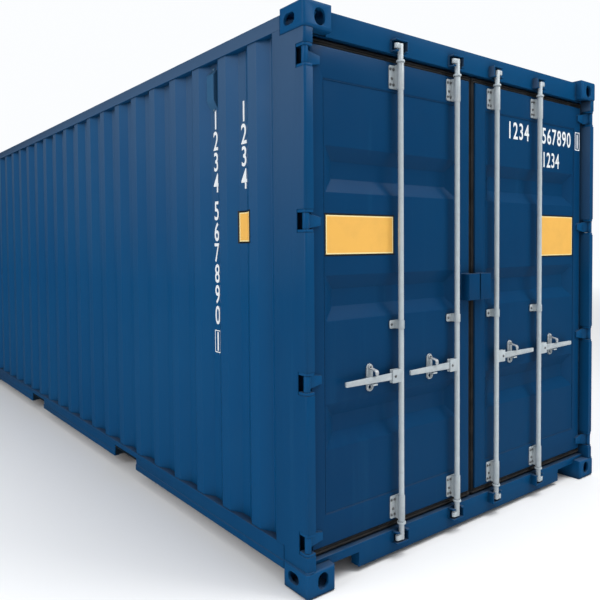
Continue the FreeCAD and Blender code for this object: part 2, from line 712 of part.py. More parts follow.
def locking_bar(place):
    """A pipe with a cam at each end, collars and a handle hub."""
    lead = -1.0 if place < 0 else 1.0
    top_cam = TOP_KEEPER_BASE + KEEPER_PLATE + CAM_GAP
    bottom_cam = BOTTOM_KEEPER_BASE + KEEPER_PLATE + CAM_GAP
    low, high = bottom_cam, top_cam + CAM_HEIGHT
    pieces = [cylinder(BAR_RADIUS, (place, BAR_Y, low), (0, 0, 1), high - low)]
    for base in (top_cam, bottom_cam):
        arm = box((place, place + lead * (CAM_REACH - CAM_WIDTH / 2)),
                  (BAR_Y - CAM_WIDTH / 2, BAR_Y + CAM_WIDTH / 2), (base, base + CAM_HEIGHT))
        nose = cylinder(CAM_WIDTH / 2, (place + lead * (CAM_REACH - CAM_WIDTH / 2), BAR_Y, base),
                        (0, 0, 1), CAM_HEIGHT)
        pieces += [arm, nose]
    for base in (BOTTOM_HOUSING_BASE - COLLAR_GAP - COLLAR_HEIGHT,
                 TOP_HOUSING_BASE + HOUSING_HEIGHT + COLLAR_GAP):
        pieces.append(cylinder(COLLAR_RADIUS, (place, BAR_Y, base), (0, 0, 1), COLLAR_HEIGHT))
    pieces += hub_plates(place, lead)
    return joined(pieces)


def hub_plates(place, lead):
    """Two cheeks and a rivet on a bar that hold the end of its handle."""
    half = HANDLE_THICKNESS / 2 + HUB_GAP
    z = (HANDLE_HEIGHT - HUB_HEIGHT / 2, HANDLE_HEIGHT + HUB_HEIGHT / 2)
    reach = place + lead * HUB_REACH
    cheeks = [box((place, reach), (BAR_Y - half - HUB_PLATE, BAR_Y - half), z),
              box((place, reach), (BAR_Y + half, BAR_Y + half + HUB_PLATE), z)]
    rivet = cylinder(RIVET_RADIUS, (place + lead * HANDLE_PIVOT, BAR_Y - half - HUB_PLATE,
                                    HANDLE_HEIGHT), (0, 1, 0), 2 * (half + HUB_PLATE))
    return cheeks + [rivet]


def bar_handle(place):
    """A flat lever on the hub's rivet that tapers to its free end."""
    lead = -1.0 if place < 0 else 1.0
    y0 = BAR_Y - HANDLE_THICKNESS / 2
    pivot = place + lead * HANDLE_PIVOT
    tip = place + lead * HANDLE_REACH
    root_half, tip_half = HANDLE_ROOT_WIDTH / 2, HANDLE_TIP_WIDTH / 2
    eye = cylinder(root_half, (pivot, y0, HANDLE_HEIGHT), (0, 1, 0), HANDLE_THICKNESS)
    lever = prism([(pivot, y0, HANDLE_HEIGHT - root_half), (tip, y0, HANDLE_HEIGHT - tip_half),
                   (tip, y0, HANDLE_HEIGHT + tip_half), (pivot, y0, HANDLE_HEIGHT + root_half)],
                  (0, HANDLE_THICKNESS, 0))
    corners = [edge for edge in lever.Edges if abs(edge.BoundBox.XMin - tip) < 1
               and abs(edge.BoundBox.XMax - tip) < 1 and edge.BoundBox.ZLength < 1]
    lever = lever.makeFillet(HANDLE_TIP_ROUND, corners)
    hole = cylinder(RIVET_RADIUS + RIVET_CLEARANCE, (pivot, y0 - 1, HANDLE_HEIGHT),
                    (0, 1, 0), HANDLE_THICKNESS + 2)
    return joined([eye, lever]).cut(hole)


# ---------------------------------------------------------------- catches
def catch_middle(place):
    lead = -1.0 if place < 0 else 1.0
    return place + lead * CATCH_PLACE


def handle_catch(place):
    """An oblong plate with a shelf for the handle and the hasp's pin."""
    middle = catch_middle(place)
    z0 = CATCH_CENTRE - CATCH_HEIGHT / 2
    plate = slot((middle, PANEL_Y - CATCH_PLATE / 2, CATCH_CENTRE), (0, 0, 1), (1, 0, 0),
                 CATCH_HEIGHT, CATCH_WIDTH, CATCH_PLATE)
    shelf_top = HANDLE_HEIGHT - HANDLE_WIDTH_AT_CATCH / 2 - SHELF_CLEARANCE
    shelf = box((middle - SHELF_WIDTH / 2, middle + SHELF_WIDTH / 2), (-END + SHELF_FRONT, PANEL_Y),
                (shelf_top - SHELF_THICKNESS, shelf_top))
    pin = cylinder(HASP_PIN_RADIUS, (middle, HASP_EYE_Y - HASP_THICKNESS, HASP_PIVOT_HEIGHT),
                   (0, 1, 0), PANEL_Y - HASP_EYE_Y + HASP_THICKNESS)
    boss = cylinder(HASP_BOSS_RADIUS, (middle, HASP_EYE_Y + HUB_GAP, HASP_PIVOT_HEIGHT),
                    (0, 1, 0), PANEL_Y - HASP_EYE_Y - HUB_GAP)
    seal_hole = cylinder(SEAL_HOLE_RADIUS, (middle, PANEL_Y - CATCH_PLATE - 1,
                                            z0 + SEAL_HOLE_RISE), (0, 1, 0), CATCH_PLATE + 2)
    return joined([plate, shelf, pin, boss]).cut(seal_hole)


def handle_hasp(place):
    """A swinging strap that steps forward from its eye to hang before the handle."""
    middle = catch_middle(place)
    back, front = HASP_EYE_Y, -END + HASP_FRONT
    root_z = HASP_PIVOT_HEIGHT - HASP_RADIUS + HASP_EYE_OVERLAP
    step_z = root_z - HASP_STEP_DROP
    tail_z = HANDLE_HEIGHT + HANDLE_WIDTH_AT_CATCH / 2 + HASP_HANDLE_GAP
    eye = cylinder(HASP_RADIUS, (middle, back - HASP_THICKNESS, HASP_PIVOT_HEIGHT), (0, 1, 0),
                   HASP_THICKNESS)
    outline = [(back, root_z), (back, root_z - HASP_THICKNESS),
               (front + HASP_THICKNESS, step_z - HASP_THICKNESS),
               (front + HASP_THICKNESS, tail_z), (front, tail_z), (front, step_z)]
    strap = prism([(middle - HASP_WIDTH / 2, y, z) for y, z in outline], (HASP_WIDTH, 0, 0))
    hole = cylinder(HASP_PIN_RADIUS + PIN_CLEARANCE,
                    (middle, back - HASP_THICKNESS - 1, HASP_PIVOT_HEIGHT), (0, 1, 0),
                    HASP_THICKNESS + 2)
    return joined([eye, strap]).cut(hole)


# ---------------------------------------------------------------- lock box
def lock_box_half():
    """The left half of the padlock cover, open below and behind."""
    x0, x1 = -BOX_HALF_WIDTH, -BOX_CENTRE_GAP
    y0, y1 = -END + BOX_FRONT, -LEAF_FACE
    z0, z1 = BOX_BASE, BOX_BASE + BOX_HEIGHT
    plate = BOX_PLATE
    front = box((x0, x1), (y0, y0 + plate), (z0, z1))
    outer = box((x0, x0 + plate), (y0, y1), (z0, z1))
    top = box((x0, x1), (y0, y1), (z1 - plate, z1))
    return joined([front, outer, top])


# ---------------------------------------------------------------- ventilator
def side_ventilator():
    """A louvred cover in a wall recess, near the top of the left wall."""
    middle = FIRST_RIB + VENT_PLACE * WALL_PITCH
    wall_x = -WALL_FACE + WALL_DEPTH
    half = VENT_WIDTH / 2
    narrow = WALL_INNER_FLAT / 2
    outline = [(wall_x, middle - narrow), (wall_x, middle + narrow),
               (wall_x - VENT_THICKNESS, middle + half),
               (wall_x - VENT_THICKNESS, middle - half)]
    cover = flat_prism(outline, VENT_BASE, VENT_BASE + VENT_HEIGHT)
    tabs = box((wall_x - SHEET, wall_x), (middle - narrow / 2, middle + narrow / 2),
               (VENT_BASE - VENT_TAB, VENT_BASE + VENT_HEIGHT + VENT_TAB))
    return joined([cover, tabs])


# ---------------------------------------------------------------- build
save("top_corner_castings", corner_castings(True))
save("bottom_corner_castings", corner_castings(False))
save("corner_posts", both_ends(both_sides(corner_post())))
save("top_side_rails", both_sides(top_side_rail()))
save("bottom_side_rails", both_sides(bottom_side_rail()))
save("end_headers", both_ends([end_header()]))
save("end_sills", both_ends([end_sill()]))
save("cam_keepers", both_ends(cam_keepers()))
save("left_side_wall", [side_wall()])
save("right_side_wall", [mirror_x(side_wall())])
save("roof_panel", [roof_panel()])
save("roof_end_plates", both_ends([roof_end_plate()]))
save("floor_boards", floor_boards())
save("cross_members", [cross_member(y) for y in cross_member_places()])
save("fork_pockets", [fork_pocket(y) for y in (-POCKET_SPACING / 2, POCKET_SPACING / 2)])
save("side_ventilators", both_ends([side_ventilator()]))

LEFT_LUGS = [hinge_lugs(height) for height in HINGE_HEIGHTS]
LEFT_BLADES = [hinge_blade(height) for height in HINGE_HEIGHTS]
ALL_LUGS = LEFT_LUGS + [mirror_x(lug) for lug in LEFT_LUGS]
save("hinge_lugs", both_ends(ALL_LUGS))

LEAF = door_leaf()
GASKET = door_gasket()
BOX_HALF = lock_box_half()
SIDES = {"left": -1, "right": 1}
far_blades = []
far_brackets = []
far_bars = []
far_catches = []
number = 0
for side, sign in SIDES.items():
    places = sorted(sign * place for place in BAR_PLACES)
    blades = LEFT_BLADES if sign < 0 else [mirror_x(blade) for blade in LEFT_BLADES]
    brackets = bar_brackets(places)
    catches = [handle_catch(place) for place in places]
    save("%s_door_leaf" % side, [LEAF if sign < 0 else mirror_x(LEAF)])
    save("%s_door_gasket" % side, [GASKET if sign < 0 else mirror_x(GASKET)])
    save("%s_door_hinges" % side, blades)
    save("%s_bar_brackets" % side, brackets)
    save("%s_handle_catches" % side, catches)
    save("%s_lock_box" % side, [BOX_HALF if sign < 0 else mirror_x(BOX_HALF)])
    for place in places:
        number += 1
        bar, handle, hasp = locking_bar(place), bar_handle(place), handle_hasp(place)
        save("locking_bar_%d" % number, [bar])
        save("handle_%d" % number, [handle])
        save("hasp_%d" % number, [hasp])
        far_bars += [far_end(bar), far_end(handle)]
        far_catches += [far_end(hasp)]
    far_blades += [far_end(blade) for blade in blades]
    far_brackets += [far_end(bracket) for bracket in brackets]
    far_catches += [far_end(catch) for catch in catches]

save("far_door_leaves", [far_end(LEAF), far_end(mirror_x(LEAF))])
save("far_door_gaskets", [far_end(GASKET), far_end(mirror_x(GASKET))])
save("far_door_hinges", far_blades)
save("far_bar_brackets", far_brackets)
save("far_locking_bars", far_bars)
save("far_handle_catches", far_catches)
save("far_lock_box", [far_end(BOX_HALF), far_end(mirror_x(BOX_HALF))])
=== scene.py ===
"""Twenty-foot shipping container: finishes and fine detail built round its packed steelwork.

Metres.  The working doors face -Y, the container is long in Y and stands on z = 0.
"""
import json
import math

import bmesh
import bpy
from mathutils import Matrix, Vector
from mathutils.bvhtree import BVHTree

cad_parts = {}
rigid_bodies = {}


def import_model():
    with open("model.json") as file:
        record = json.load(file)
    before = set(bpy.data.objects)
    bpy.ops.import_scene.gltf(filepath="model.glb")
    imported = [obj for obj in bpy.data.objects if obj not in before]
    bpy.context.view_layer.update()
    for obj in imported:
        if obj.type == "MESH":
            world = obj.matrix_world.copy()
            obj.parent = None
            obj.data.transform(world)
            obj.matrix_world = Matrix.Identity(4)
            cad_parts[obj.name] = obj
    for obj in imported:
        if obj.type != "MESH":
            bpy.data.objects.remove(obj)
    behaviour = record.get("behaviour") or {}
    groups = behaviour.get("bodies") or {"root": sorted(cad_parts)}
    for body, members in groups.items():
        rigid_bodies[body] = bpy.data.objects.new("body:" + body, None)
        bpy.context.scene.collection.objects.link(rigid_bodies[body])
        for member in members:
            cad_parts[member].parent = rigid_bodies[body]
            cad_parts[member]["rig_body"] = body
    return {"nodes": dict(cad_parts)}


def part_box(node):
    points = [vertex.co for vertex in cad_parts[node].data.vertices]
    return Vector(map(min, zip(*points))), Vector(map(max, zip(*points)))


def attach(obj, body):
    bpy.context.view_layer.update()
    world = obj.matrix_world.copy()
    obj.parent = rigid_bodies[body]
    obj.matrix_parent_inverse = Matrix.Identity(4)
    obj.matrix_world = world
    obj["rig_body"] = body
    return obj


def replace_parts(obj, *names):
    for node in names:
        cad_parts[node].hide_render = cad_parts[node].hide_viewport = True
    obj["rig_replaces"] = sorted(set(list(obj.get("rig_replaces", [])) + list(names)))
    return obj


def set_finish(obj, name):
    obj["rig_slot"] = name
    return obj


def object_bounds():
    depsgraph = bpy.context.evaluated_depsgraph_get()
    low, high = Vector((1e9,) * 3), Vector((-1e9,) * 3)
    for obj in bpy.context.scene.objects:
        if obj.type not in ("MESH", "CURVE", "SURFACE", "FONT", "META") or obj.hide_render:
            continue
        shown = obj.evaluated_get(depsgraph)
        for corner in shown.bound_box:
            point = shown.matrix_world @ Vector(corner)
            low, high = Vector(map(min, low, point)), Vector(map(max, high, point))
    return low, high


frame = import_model()
cad_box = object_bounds()
nodes = frame["nodes"]
low, high = cad_box


# ---------------------------------------------------------------- corner castings
# Eight hollow steel castings carry the whole load and take the twistlocks.
# They are sand cast, welded to the posts and rails, shot-blasted and painted with the
# rest, so their skin is a little grainy and the paint is scuffed round the holes.
def put(tree, kind, feeds=None, **settings):
    """Adds a node to a tree, with its settings and with what feeds its sockets."""
    added = tree.nodes.new(kind)
    for name, value in settings.items():
        setattr(added, name, value)
    for name, value in (feeds or {}).items():
        socket = added.inputs[name]
        if isinstance(value, bpy.types.NodeSocket):
            tree.links.new(value, socket)
        else:
            socket.default_value = value
    return added


def sums(tree, operation, *values):
    """A Math node on the given values."""
    return put(tree, "ShaderNodeMath", dict(enumerate(values)), operation=operation).outputs[0]


def between(tree, value, start, end, low_value=0.0, high_value=1.0):
    """A value moved from the range start..end to low_value..high_value, and kept in it."""
    feeds = {"Value": value, "From Min": start, "From Max": end,
             "To Min": low_value, "To Max": high_value}
    return put(tree, "ShaderNodeMapRange", feeds).outputs["Result"]


def tinted(tree, share, first, second, way="MIX"):
    """Two colours mixed by a share."""
    mix = put(tree, "ShaderNodeMix", data_type="RGBA", blend_type=way)
    for index, value in ((0, share), (6, first), (7, second)):
        if isinstance(value, bpy.types.NodeSocket):
            tree.links.new(value, mix.inputs[index])
        else:
            mix.inputs[index].default_value = value
    return mix.outputs[2]


def new_group(name, kind, wanted, given):
    """An empty node group: wanted lists its inputs as name, type and value, given its outputs."""
    tree = bpy.data.node_groups.new(name, kind)
    for label, socket, value in wanted:
        made = tree.interface.new_socket(name=label, in_out="INPUT",
                                         socket_type="NodeSocket" + socket)
        if value is not None:
            made.default_value = value
    for label, socket in given:
        tree.interface.new_socket(name=label, in_out="OUTPUT", socket_type="NodeSocket" + socket)
    return tree, put(tree, "NodeGroupInput").outputs, put(tree, "NodeGroupOutput").inputs


def noise(tree, place, scale, detail=2.0, roughness=0.5, distortion=0.0):
    """Soft noise over a surface."""
    feeds = {"Vector": place, "Scale": scale, "Detail": detail, "Roughness": roughness,
             "Distortion": distortion}
    return put(tree, "ShaderNodeTexNoise", feeds).outputs["Fac"]


def stretched(tree, place, scale):
    """A place on the surface with each of its directions scaled."""
    return put(tree, "ShaderNodeMapping", {"Vector": place, "Scale": scale}).outputs["Vector"]


def bumped(tree, height, strength, distance, under=None):
    """A normal with small bumps on it."""
    feeds = {"Strength": strength, "Distance": distance, "Height": height}
    if under is not None:
        feeds["Normal"] = under
    return put(tree, "ShaderNodeBump", feeds).outputs["Normal"]


def object_place(tree):
    """Where a point of the surface is, in metres."""
    return put(tree, "ShaderNodeTexCoord").outputs["Object"]


def shut_in(tree, distance, start, end, share):
    """How much a point is shut in by what is near it, times a share."""
    sky = put(tree, "ShaderNodeAmbientOcclusion", {"Distance": distance}, samples=4)
    return sums(tree, "MULTIPLY", between(tree, sky.outputs["AO"], start, end), share)


def handed_out(tree, result, colour, roughness, normal):
    """Feeds a group's outputs, or a shader's sockets, with a finish's three maps."""
    for socket, value in zip(result, (colour, roughness, normal)):
        tree.links.new(value, socket)


CHALK = (0.018, 0.135, 0.270, 1.0)
# Grey that paints the sky's reflection high up on the side faces.
PAINTED_SKY_SHEEN = (0.105, 0.140, 0.190, 1.0)
ROAD_DUST = (0.20, 0.19, 0.17, 1.0)
# Colour of the painted shade that darkens corners, creases and gaps.
PAINTED_SHADE = (0.008, 0.012, 0.018, 1.0)
OLD_RUST = (0.090, 0.032, 0.014, 1.0)


def weathered_paint_group():
    """Sprayed paint: slow fading, rain runs, ledge dust, scuffs, painted corner shade and painted
    sky sheen.
    """
    tree, given, result = new_group(
        "weathered_paint", "ShaderNodeTree",
        [("Paint", "Color", (0.0, 0.1, 0.2, 1.0)), ("Gloss Loss", "Float", 0.36),
         ("Fading", "Float", 0.1), ("Sun Bleach", "Float", 0.0),
         ("Rain Runs", "Float", 0.1), ("Dust", "Float", 0.4),
         ("Grime", "Float", 0.5), ("Scuffs", "Float", 0.0), ("Waviness", "Float", 0.3),
         ("Grain", "Float", 0.15)],
        [("Colour", "Color"), ("Roughness", "Float"), ("Normal", "Vector")])
    place = object_place(tree)
    clouds = noise(tree, place, 0.7, 4.0, 0.6)
    runs = noise(tree, stretched(tree, place, (22.0, 22.0, 0.8)), 1.0, 5.0, 0.65)
    faded = sums(tree, "MULTIPLY", between(tree, clouds, 0.35, 0.7), given["Fading"])
    run_mask = sums(tree, "MULTIPLY", between(tree, runs, 0.52, 0.75), given["Rain Runs"])
    colour = tinted(tree, sums(tree, "MAXIMUM", faded, run_mask), given["Paint"], CHALK)
    facing = put(tree, "ShaderNodeNewGeometry").outputs["Normal"]
    facing = put(tree, "ShaderNodeSeparateXYZ", {"Vector": facing}).outputs
    sideways = between(tree, sums(tree, "ABSOLUTE", facing["X"]), 0.88, 0.98)
    height = put(tree, "ShaderNodeSeparateXYZ", {"Vector": place}).outputs["Z"]
    # Painted reflection: side faces turn greyer towards the top, as the sky's sheen at grazing
    # angles.
    sky_sheen_share = sums(tree, "MULTIPLY", between(tree, height, 1.3, 2.6), given["Sun Bleach"])
    sky_sheen_share = sums(tree, "MULTIPLY", sky_sheen_share, sideways)
    colour = tinted(tree, sky_sheen_share, colour, PAINTED_SKY_SHEEN)

    specks = noise(tree, place, 9.0, 6.0, 0.7)
    ledge = sums(tree, "MULTIPLY", between(tree, facing["Z"], 0.45, 0.95),
                 between(tree, specks, 0.15, 0.95))
    dust = sums(tree, "MULTIPLY", ledge, given["Dust"])
    colour = tinted(tree, dust, colour, ROAD_DUST)

    # Painted shade: ambient occlusion darkens corners, creases and gaps toward near-black.
    corner = shut_in(tree, 0.07, 0.85, 0.25, given["Grime"])
    colour = tinted(tree, corner, colour, PAINTED_SHADE)

    chips = noise(tree, place, 38.0, 8.0, 0.72)
    zones = noise(tree, place, 4.5)
    reach = sums(tree, "ADD", chips, sums(tree, "MULTIPLY", zones, 0.35))
    scuffed = sums(tree, "MULTIPLY", between(tree, reach, 0.86, 0.9), given["Scuffs"])
    colour = tinted(tree, scuffed, colour, OLD_RUST)

    dulled = sums(tree, "ADD", given["Gloss Loss"],
                  sums(tree, "MULTIPLY", sums(tree, "MAXIMUM", dust, scuffed), 0.4))
    dulled = sums(tree, "ADD", dulled, between(tree, specks, 0.3, 0.7, -0.03, 0.05))

    flat = bumped(tree, noise(tree, place, 2.2, 1.0), given["Waviness"], 0.02)
    fine = bumped(tree, noise(tree, place, 420.0), given["Grain"], 0.001, flat)
    handed_out(tree, result, colour, dulled, fine)
    return tree


WEATHERED_PAINT = weathered_paint_group()


def new_finish(name):
    """A bare material, with its tree, its shader and the sockets that a finish feeds."""
    finish = bpy.data.materials.new(name)
    finish.use_nodes = True
    tree = finish.node_tree
    shader = tree.nodes["Principled BSDF"]
    fed = [shader.inputs[socket] for socket in ("Base Color", "Roughness", "Normal")]
    return finish, tree, shader, fed


def group_amounts(tree, group, **amounts):
    """A shader group in a material, with its own amounts."""
    added = put(tree, "ShaderNodeGroup", node_tree=group)
    for label, value in amounts.items():
        added.inputs[label.replace("_", " ")].default_value = value
    return added.outputs


def paint_finish(name, paint, **amounts):
    """A painted-steel material: the weathered paint group on a plain shader."""
    finish, tree, shader, fed = new_finish(name)
    shader.inputs["Specular IOR Level"].default_value = 0.13
    weather = group_amounts(tree, WEATHERED_PAINT, Paint=(*paint, 1.0), **amounts)
    handed_out(tree, fed, *weather)
    return finish


BLUE = (0.0, 0.059, 0.170)
CAST_PAINT = paint_finish("cast_steel_paint", BLUE, Scuffs=0.35, Grime=0.7, Waviness=0.25,
                          Grain=0.55, Gloss_Loss=0.42)


def shown(name, data):
    """An object in the scene for a mesh, a curve, a lamp or a camera."""
    piece = bpy.data.objects.new(name, data)
    bpy.context.scene.collection.objects.link(piece)
    return piece


def mesh_of(name, work):
    """A mesh from finished mesh work."""
    mesh = bpy.data.meshes.new(name)
    work.to_mesh(mesh)
    work.free()
    return mesh


def smoothed(piece, sharp_from):
    """Smooth shading that stays crisp at bends sharper than so many degrees."""
    piece.data.shade_smooth()
    piece.data.set_sharp_from_angle(angle=math.radians(sharp_from))


def evaluated_mesh(piece):
    """The mesh that a piece's modifiers or outline make."""
    bpy.context.view_layer.update()
    graph = bpy.context.evaluated_depsgraph_get()
    return bpy.data.meshes.new_from_object(piece.evaluated_get(graph))


def settled(piece):
    """Turns what a piece's modifiers make into its plain mesh."""
    made = evaluated_mesh(piece)
    piece.modifiers.clear()
    piece.data = made
    return piece


def added_piece(name, mesh, body, slot, *finishes):
    """A finished mesh as a piece that rides on a body."""
    piece = shown(name, mesh)
    mesh.materials.clear()
    for finish in finishes:
        mesh.materials.append(finish)
    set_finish(piece, slot)
    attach(piece, body)
    return piece


def body_of_node(name):
    return nodes[name]["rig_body"]


def softened(node, edge_round, slot, finish, cut_angle=34.0):
    """The steel piece with its sharp edges rounded, standing for the plain one."""
    mesh = nodes[node].data.copy()
    work = bmesh.new()
    work.from_mesh(mesh)
    bmesh.ops.remove_doubles(work, verts=work.verts, dist=0.00002)
    bmesh.ops.dissolve_limit(work, angle_limit=math.radians(1.0), verts=work.verts,
                             edges=work.edges)
    work.to_mesh(mesh)
    work.free()
    piece = shown(node + "_steel", mesh)
    mesh.materials.clear()
    mesh.materials.append(finish)
    mesh.shade_smooth()
    rounding = piece.modifiers.new("rounded edges", "BEVEL")
    rounding.width = edge_round
    rounding.segments = 2
    rounding.limit_method = "ANGLE"
    rounding.angle_limit = math.radians(cut_angle)
    rounding.use_clamp_overlap = True
    rounding.harden_normals = True
    settled(piece)
    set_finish(piece, slot)
    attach(piece, body_of_node(node))
    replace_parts(piece, node)
    return piece


softened("top_corner_castings", 0.003, "container_paint", CAST_PAINT)
softened("bottom_corner_castings", 0.003, "container_paint", CAST_PAINT)


# ---------------------------------------------------------------- corner posts
# Each post is pressed from 6 mm plate, folded round the corner and welded up, with an
# opening cut for every hinge.  A bead of weld joins it to the castings above and below.
FRAME_BLUE = (0.0, 0.050, 0.145)
FRAME_PAINT = paint_finish("frame_paint", FRAME_BLUE, Scuffs=0.06, Grime=0.6, Rain_Runs=0.12,
                           Sun_Bleach=0.42)
softened("corner_posts", 0.004, "container_paint", FRAME_PAINT)


def grown(name, seed, tree, **settings):
    """Grows a node tree on a mesh into a plain mesh."""
    piece = shown(name, seed)
    grower = piece.modifiers.new("grower", "NODES")
    grower.node_group = tree
    sockets = {item.name: item.identifier for item in tree.interface.items_tree
               if item.item_type == "SOCKET" and item.in_out == "INPUT"}
    for label, value in settings.items():
        grower[sockets[label.replace("_", " ")]] = value
    return settled(piece)


def tree_run(name, tree, places, joins, **settings):
    """Grows a node tree on points, or on paths of joined points."""
    seed = bpy.data.meshes.new(name)
    seed.from_pydata(places, joins, [])
    return grown(name, seed, tree, **settings)


def vector(tree, x, y, z):
    return put(tree, "ShaderNodeCombineXYZ", {"X": x, "Y": y, "Z": z}).outputs["Vector"]


def ended(tree, shape, finish, result):
    """The end of a tree: real geometry in its material."""
    real = put(tree, "GeometryNodeRealizeInstances", {"Geometry": shape}).outputs["Geometry"]
    coated = put(tree, "GeometryNodeSetMaterial", {"Geometry": real, "Material": finish})
    tree.links.new(coated.outputs["Geometry"], result)


def weld_bead_tree():
    """A rippled bead of weld along paths of edges."""
    tree, given, result = new_group(
        "weld_bead", "GeometryNodeTree",
        [("Path", "Geometry", None), ("Bead", "Float", 0.004), ("Ripple", "Float", 0.3),
         ("Step", "Float", 0.006), ("Finish", "Material", None)], [("Weld", "Geometry")])
    line = put(tree, "GeometryNodeMeshToCurve", {"Mesh": given["Path"]}).outputs["Curve"]
    stepped = put(tree, "GeometryNodeResampleCurve", {"Curve": line, "Length": given["Step"]},
                  mode="LENGTH").outputs["Curve"]
    pool = put(tree, "ShaderNodeTexNoise", {"Scale": 90.0, "Detail": 1.0}).outputs["Fac"]
    size = sums(tree, "ADD", 1.0, sums(tree, "MULTIPLY", sums(tree, "SUBTRACT", pool, 0.5),
                                       sums(tree, "MULTIPLY", given["Ripple"], 2.0)))
    swollen = put(tree, "GeometryNodeSetCurveRadius", {"Curve": stepped, "Radius": size})
    ring = put(tree, "GeometryNodeCurvePrimitiveCircle", {"Resolution": 6,
                                                          "Radius": given["Bead"]})
    bead = put(tree, "GeometryNodeCurveToMesh",
               {"Curve": swollen.outputs["Curve"], "Profile Curve": ring.outputs["Curve"],
                "Scale": size, "Fill Caps": True}).outputs["Mesh"]
    ended(tree, bead, given["Finish"], result["Weld"])
    return tree


WELD_BEAD = weld_bead_tree()


def welded(name, paths, bead, body, finish):
    """One piece of weld along several open paths."""
    places, joins = [], []
    for path in paths:
        joins += [(len(places) + k, len(places) + k + 1) for k in range(len(path) - 1)]
        places += path
    piece = tree_run(name, WELD_BEAD, places, joins, Bead=bead, Finish=finish)
    piece.data.shade_smooth()
    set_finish(piece, "container_paint")
    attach(piece, body)
    return piece


def both_ways(path):
    """A path and its copies across the middle, in X, in Y and in both."""
    return [[(x * sx, y * sy, z) for x, y, z in path] for sx in (1, -1) for sy in (1, -1)]


cast_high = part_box("bottom_corner_castings")[1]
post_low, post_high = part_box("corner_posts")
CASTING_SIDE, CASTING_END = 0.162, 0.178
inner_x = cast_high.x - CASTING_SIDE
inner_y = cast_high.y - CASTING_END
post_x, post_y = post_high.x, post_high.y
POST_ROUND = 0.012
round_foot = [(post_x - POST_ROUND * (1 - math.sin(a)), post_y - POST_ROUND * (1 - math.cos(a)))
              for a in [math.pi / 2 * k / 4 for k in range(5)]]
post_foot = [(inner_x + 0.12, post_y)] + round_foot + [(post_x, inner_y)]
post_welds = []
for joint_z in (post_low.z, post_high.z):
    post_welds += both_ways([(x, y, joint_z) for x, y in post_foot])
welded("post_welds", post_welds, 0.0035, "frame", FRAME_PAINT)


# ---------------------------------------------------------------- bottom rails and underframe
# The bottom side rails are folded channels with a doubling strip along the foot.  Channels
# run across between them to carry the floor, and two boxed pockets take a truck's forks.
# The underframe is painted too, and then sprayed with a dull wax against road salt.
UNDER_PAINT = paint_finish("underframe_wax", (0.006, 0.014, 0.022), Gloss_Loss=0.62, Dust=0.2,
                           Scuffs=0.25, Grain=0.4, Rain_Runs=0.2)
softened("bottom_side_rails", 0.003, "container_paint", FRAME_PAINT)
softened("cross_members", 0.002, "container_paint", UNDER_PAINT)
softened("fork_pockets", 0.002, "container_paint", UNDER_PAINT)


# ---------------------------------------------------------------- top side rails
# Square steel tubes between the top castings.  The side sheets and the roof are both
# welded along them, and each butts against its castings with a bead all round.
softened("top_side_rails", 0.005, "container_paint", FRAME_PAINT)
rail_low, rail_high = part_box("top_side_rails")
bottom_low, bottom_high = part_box("bottom_side_rails")
rail_welds = both_ways([(rail_high.x, inner_y, rail_high.z), (rail_high.x, inner_y, rail_low.z)])
rail_welds += both_ways([(bottom_high.x, inner_y, bottom_high.z),
                         (bottom_high.x, inner_y, bottom_low.z + 0.02)])
welded("rail_welds", rail_welds, 0.003, "frame", FRAME_PAINT)


# ---------------------------------------------------------------- side walls
# Each side is a run of 2 mm steel sheets pressed in upright corrugations, butt welded
# edge to edge and then welded along the rails and posts.  Outside it has the container's
# paint, and inside a pale grey one.
WALL_BEND = 0.012
SHEET = 0.002
RIB_FLAT, RIB_SLOPE, RIB_HOLLOW, RIB_DEPTH = 0.072, 0.068, 0.067, 0.036
RIB_PITCH = RIB_FLAT + 2 * RIB_SLOPE + RIB_HOLLOW
WALL_PAINT = paint_finish("side_sheet_paint", BLUE, Grime=0.55, Rain_Runs=0.1, Waviness=0.5,
                          Sun_Bleach=0.42)
INSIDE_PAINT = paint_finish("inside_paint", (0.42, 0.45, 0.46), Gloss_Loss=0.5, Scuffs=0.04,
                            Fading=0.3, Rain_Runs=0.05, Waviness=0.4)


